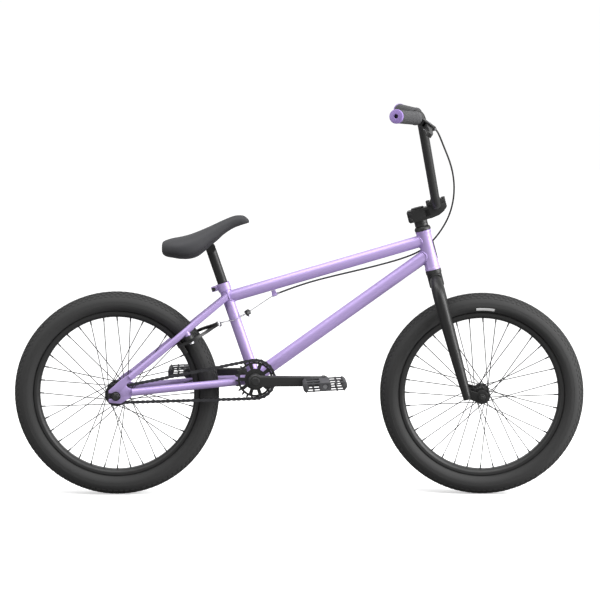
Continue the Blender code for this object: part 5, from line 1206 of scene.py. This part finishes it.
spindle_half = [(0.0095, 0.0375), (0.0125, 0.0376), (0.0125, 0.0674), (0.0095, 0.0675), (0.0095, 0.09),
                (0.0086, 0.0915)]
right_half = [(0.0095, 0.0375), (0.0125, 0.0376), (0.0125, 0.0472), (0.0156, 0.0472), (0.016, 0.0476),
              (0.016, 0.0671), (0.0156, 0.0675)]
right_half += [(0.0095, 0.0675), (0.0095, 0.09), (0.0086, 0.0915)]
spindle = Shape().turned([(r, -h) for r, h in reversed(right_half)] + spindle_half, 56, bb_frame)
spindle.piece("spindle_fine", "crank", "black_satin", "spindle")
for side, sign in SIDES:
    ahead = -sign
    low, high = sorted((-sign * (CRANK_Y - CRANK_HALF_THICK), -sign * (CRANK_Y + CRANK_HALF_THICK)))
    arm = Shape().plate(crank_outline(ahead), [], low, high, side_plane(BOTTOM_BRACKET))
    arm.piece(f"crank_arm_{side}_fine", "crank", "black_satin", f"crank_arm_{side}", bevel=0.0042,
              segments=4)
    face = CRANK_Y + CRANK_HALF_THICK
    end_bolt = Shape().turned(
        [(0.0104, sign * (face - 0.001)), (0.0104, sign * (face + 0.002)),
         (0.0094, sign * (face + 0.003))],
        48,
        bb_frame,
    )
    end_bolt.piece(f"crank_bolt_{side}", "crank", "black_satin")
    socket = Shape().turned([(0.005, sign * (face + 0.0029)), (0.005, sign * (face + 0.0033))], 6,
                            bb_frame)
    socket.piece(f"crank_bolt_socket_{side}", "crank", "chain_steel")
    pedal_point = Vector(JOINTS[f"pedal_{side}_spin"]["pos_m"])
    pedal_frame = axes_matrix(pedal_point, Vector((math.cos(PEDAL_TILT), 0, math.sin(PEDAL_TILT))), LEFT)
    profile = [
        (0.0062, -PEDAL_Y + face - 0.02), (0.007, -PEDAL_Y + face + 0.0002),
        (0.009, -PEDAL_Y + face + 0.0004), (0.0095, -PEDAL_Y + face + 0.0009), (0.0095, -0.0476),
        (0.0052, -0.047), (0.0052, 0.044),
    ]
    axle = Shape().turned([(r, h * sign) for r, h in profile], 40, pedal_frame)
    axle.piece(f"pedal_axle_{side}_fine", "crank", "steel", f"pedal_axle_{side}")
    cage = refined(f"pedal_{side}", f"pedal_{side}", "black_plastic", 0.0007)
    windows = Shape()
    for x in (-0.027, 0.027):
        windows.box((x - 0.0125, -0.0056, -0.056), (x + 0.0125, 0.0056, 0.056), pedal_frame)
    cut(cage, windows)
    cage.data.set_sharp_from_angle(angle=math.radians(38))
    studs = Shape()
    for x in (-0.047, -0.0285, 0.0285, 0.0455):
        for y in (-0.044, -0.022, 0.0, 0.022, 0.044):
            if abs(x) < 0.03 and abs(y) in (0.022,):
                continue
            for face_sign in (-1, 1):
                spot = pedal_frame @ axes_matrix((x, 0.0, y), Vector((1, 0, 0)), Vector((0, face_sign, 0)))
                studs.turned([(0.0019, 0.0098), (0.0016, 0.0118), (0.001, 0.0122)], 12, spot)
    studs.piece(f"pedal_studs_{side}", f"pedal_{side}", "black_plastic")

# ---------------------------------------------------------------- seat post and saddle
post_top = Vector(JOINTS["saddle_tilt"]["pos_m"])
post_frame = axes_matrix(post_top, LEFT.cross(seat_up), seat_up)
saddle_head_frame = axes_matrix(post_top, Vector((1, 0, 0)), LEFT)
post = Shape().turned([(SEAT_POST_R - 0.0005, -0.1885), (SEAT_POST_R, -0.1878), (SEAT_POST_R, -0.004)], 56,
                      post_frame)
post.turned([(0.012, -0.0125), (0.0125, -0.012), (0.0125, 0.012), (0.012, 0.0125)], 56,
            saddle_head_frame)
post.piece("seat_post_fine", "seat_post", "black_paint", "seat_post", slot="black_satin")
SADDLE_STATIONS = (
    # X, top Z, bottom Z, half width
    (-0.348, 0.6375, 0.6175, 0.033), (-0.345, 0.642, 0.6095, 0.043), (-0.335, 0.6465, 0.604, 0.054),
    (-0.322, 0.6503, 0.6018, 0.061), (-0.302, 0.654, 0.5988, 0.0655), (-0.28, 0.6597, 0.599, 0.0645),
    (-0.26, 0.667, 0.6045, 0.059), (-0.2425, 0.6745, 0.617, 0.0515), (-0.226, 0.6818, 0.632, 0.044),
    (-0.21, 0.6895, 0.645, 0.0375), (-0.195, 0.6965, 0.659, 0.032), (-0.1779, 0.7037, 0.6712, 0.0265),
    (-0.1629, 0.7082, 0.679, 0.0232), (-0.1455, 0.7083, 0.6853, 0.0195), (-0.135, 0.702, 0.6885, 0.015),
    (-0.13, 0.6955, 0.6905, 0.0085),
)
SADDLE_RING = 56
SEAM_TURN = -0.42               # where round the section the cover meets the base, in radians


def saddle_point(station, turn, swell=0.0):
    """A point of the saddle's skin: crowned on top, drawn in below the seam."""
    x, top, bottom, half = station
    across = math.cos(turn)
    rise = math.sin(turn)
    middle = bottom + (top - bottom) * 0.46
    above = top - middle
    below = middle - bottom
    y = half * math.copysign(abs(across) ** 0.78, across)
    if rise >= 0:
        z = middle + above * rise**0.8
    else:
        z = middle - below * (-rise) ** 0.7
        y *= 1.0 - 0.1 * (-rise) ** 1.5
    return Vector((x, y * (1 + swell), z))


def saddle_station(place):
    """The saddle's measures at a place counted in stations, smoothly joined."""
    count = len(SADDLE_STATIONS)
    k = min(int(place), count - 2)
    t = place - k
    rows = [SADDLE_STATIONS[min(max(k + j, 0), count - 1)] for j in (-1, 0, 1, 2)]
    found = [spline_value(*measures, t) for measures in zip(*rows)]
    found[3] = min(found[3], 0.0655)
    return found


steps = 96
saddle_rings = []
for i in range(steps + 1):
    station = saddle_station((len(SADDLE_STATIONS) - 1) * i / steps)
    saddle_rings.append([saddle_point(station, 2 * math.pi * j / SADDLE_RING) for j in range(SADDLE_RING)])
saddle = Shape().rings(saddle_rings)
saddle_piece = saddle.piece("saddle_cover", "saddle", "seat_cover", "saddle", smooth=60)
socket = Shape().turned([(0.0132, -0.014), (0.0132, 0.014)], 48, saddle_head_frame)
post_gap = Shape()
fan = [(0.015, 0.0), (-0.015, 0.0), (-0.0235, -0.045), (0.0235, -0.045)]
fan_frame = post_frame @ Matrix(((1, 0, 0, 0), (0, 0, -1, 0), (0, 1, 0, 0), (0, 0, 0, 1)))
post_gap.plate(fan, [], -0.015, 0.015, fan_frame)
cut(saddle_piece, socket)
cut(saddle_piece, post_gap)
settle(saddle_piece, "saddle", "seat_cover", ("saddle",), smooth=50)

# A raised seam runs round the saddle where the cover meets its base.
for sign in (-1, 1):
    seam = []
    for i in range(3, steps - 2):
        station = saddle_station((len(SADDLE_STATIONS) - 1) * i / steps)
        turn = SEAM_TURN if sign > 0 else math.pi - SEAM_TURN
        seam.append(saddle_point(station, turn))
    line = Shape().swept(seam, 0.0009, 8)
    line.piece(f"saddle_seam_{'left' if sign > 0 else 'right'}", "saddle", "black_satin")

# ---------------------------------------------------------------- floor, light and camera
floor_mesh = bpy.data.meshes.new("floor")
FLOOR = 30.0
floor_mesh.from_pydata([(-FLOOR, -FLOOR, 0), (FLOOR, -FLOOR, 0), (FLOOR, FLOOR, 0), (-FLOOR, FLOOR, 0)],
                       [], [(0, 1, 2, 3)])
floor = bpy.data.objects.new("floor", floor_mesh)
bpy.context.collection.objects.link(floor)
floor_paint = bpy.data.materials.new("floor_paint")
floor_paint.use_nodes = True
floor_tree = floor_paint.node_tree
floor_shader = floor_tree.nodes["Principled BSDF"]
floor_shader.inputs["Base Color"].default_value = (0.86, 0.86, 0.86, 1.0)
floor_shader.inputs["Roughness"].default_value = 0.9
floor_shader.inputs["Specular IOR Level"].default_value = 0.1
floor_shader.inputs["Emission Color"].default_value = (1.0, 1.0, 1.0, 1.0)
floor_shader.inputs["Emission Strength"].default_value = 0.45


def seen_directly(tree, plain, seen, output):
    """Shows one shader to the camera and another to bounced light, which keeps glare off dark pieces."""
    path = tree.nodes.new("ShaderNodeLightPath")
    choice = tree.nodes.new("ShaderNodeMixShader")
    connect(tree, (path, "Is Camera Ray"), (choice, 0))
    connect(tree, plain, (choice, 1))
    connect(tree, seen, (choice, 2))
    connect(tree, (choice, 0), (output, "Surface"))


dim_floor = floor_tree.nodes.new("ShaderNodeBsdfDiffuse")
dim_floor.inputs["Color"].default_value = (0.24, 0.24, 0.24, 1.0)
seen_directly(floor_tree, (dim_floor, 0), (floor_shader, 0), floor_tree.nodes["Material Output"])
floor_mesh.materials.append(floor_paint)

# The backdrop is white. The light that it gives is dimmer in front, so that round tubes keep their shading.
world = bpy.data.worlds.new("studio")
bpy.context.scene.world = world
world.use_nodes = True
studio = world.node_tree
direction = studio.nodes.new("ShaderNodeTexCoord")
parts = studio.nodes.new("ShaderNodeSeparateXYZ")
fade = studio.nodes.new("ShaderNodeMapRange")
fade.inputs["From Min"].default_value = -0.35
fade.inputs["From Max"].default_value = 0.8
fade.inputs["To Min"].default_value = 0.04
fade.inputs["To Max"].default_value = 0.9
connect(studio, (direction, "Generated"), (parts, "Vector"))
connect(studio, (parts, "Y"), (fade, "Value"))
glow = studio.nodes["Background"]
glow.inputs["Color"].default_value = (1.0, 1.0, 1.0, 1.0)
connect(studio, (fade, "Result"), (glow, "Strength"))
backdrop = studio.nodes.new("ShaderNodeBackground")
backdrop.inputs["Color"].default_value = (1.0, 1.0, 1.0, 1.0)
backdrop.inputs["Strength"].default_value = 1.02
seen_directly(studio, (glow, 0), (backdrop, 0), studio.nodes["World Output"])


def soft_light(name, spot, target, width, height, power):
    """A rectangular studio lamp aimed at a point."""
    lamp = bpy.data.lights.new(name, "AREA")
    lamp.shape = "RECTANGLE"
    lamp.size = width
    lamp.size_y = height
    lamp.energy = power
    holder = bpy.data.objects.new(name, lamp)
    holder.location = spot
    holder.rotation_euler = (Vector(target) - Vector(spot)).to_track_quat("-Z", "Y").to_euler()
    bpy.context.collection.objects.link(holder)


LAMPS = (
    # name, place, target, width, height, watts
    ("top_light", (-0.6, -0.8, 3.4), (0.0, 0.0, 0.4), 3.0, 1.2, 60),
    ("key_light", (2.6, -2.2, 2.6), (0.0, 0.0, 0.5), 1.6, 2.6, 110),
    ("fill_light", (-2.8, -2.0, 1.2), (-0.1, 0.0, 0.5), 0.7, 2.0, 26),
    ("edge_light", (3.4, -0.9, 1.1), (0.0, 0.0, 0.5), 0.9, 2.2, 120),
)
for lamp_row in LAMPS:
    soft_light(*lamp_row)
sun = bpy.data.lights.new("sky_light", "SUN")
sun.energy = 1.3
sun.angle = math.radians(60)
sun_holder = bpy.data.objects.new("sky_light", sun)
sun_holder.rotation_euler = (math.radians(14), math.radians(-16), 0.0)
bpy.context.collection.objects.link(sun_holder)

CAMERA_SPOT = Vector((-0.16364, -5.0, 0.95947))
CAMERA_AIM = Vector((-0.00082, 0.0, 0.49512))
CAMERA_ROLL = 0.00558            # radians
CAMERA_LENS = 119.36             # millimetres, on a sensor 36 mm wide
lens = bpy.data.cameras.new("camera")
lens.sensor_width = 36.0
lens.lens = CAMERA_LENS
camera = bpy.data.objects.new("camera", lens)
bpy.context.collection.objects.link(camera)
forward = (CAMERA_AIM - CAMERA_SPOT).normalized()
right = forward.cross(UP).normalized()
above = right.cross(forward)
rolled_right = right * math.cos(CAMERA_ROLL) + above * math.sin(CAMERA_ROLL)
rolled_above = above * math.cos(CAMERA_ROLL) - right * math.sin(CAMERA_ROLL)
turn = Matrix((rolled_right, rolled_above, -forward)).transposed().to_4x4()
camera.matrix_world = Matrix.Translation(CAMERA_SPOT) @ turn
bpy.context.scene.camera = camera
bpy.context.scene.view_settings.view_transform = "Standard"
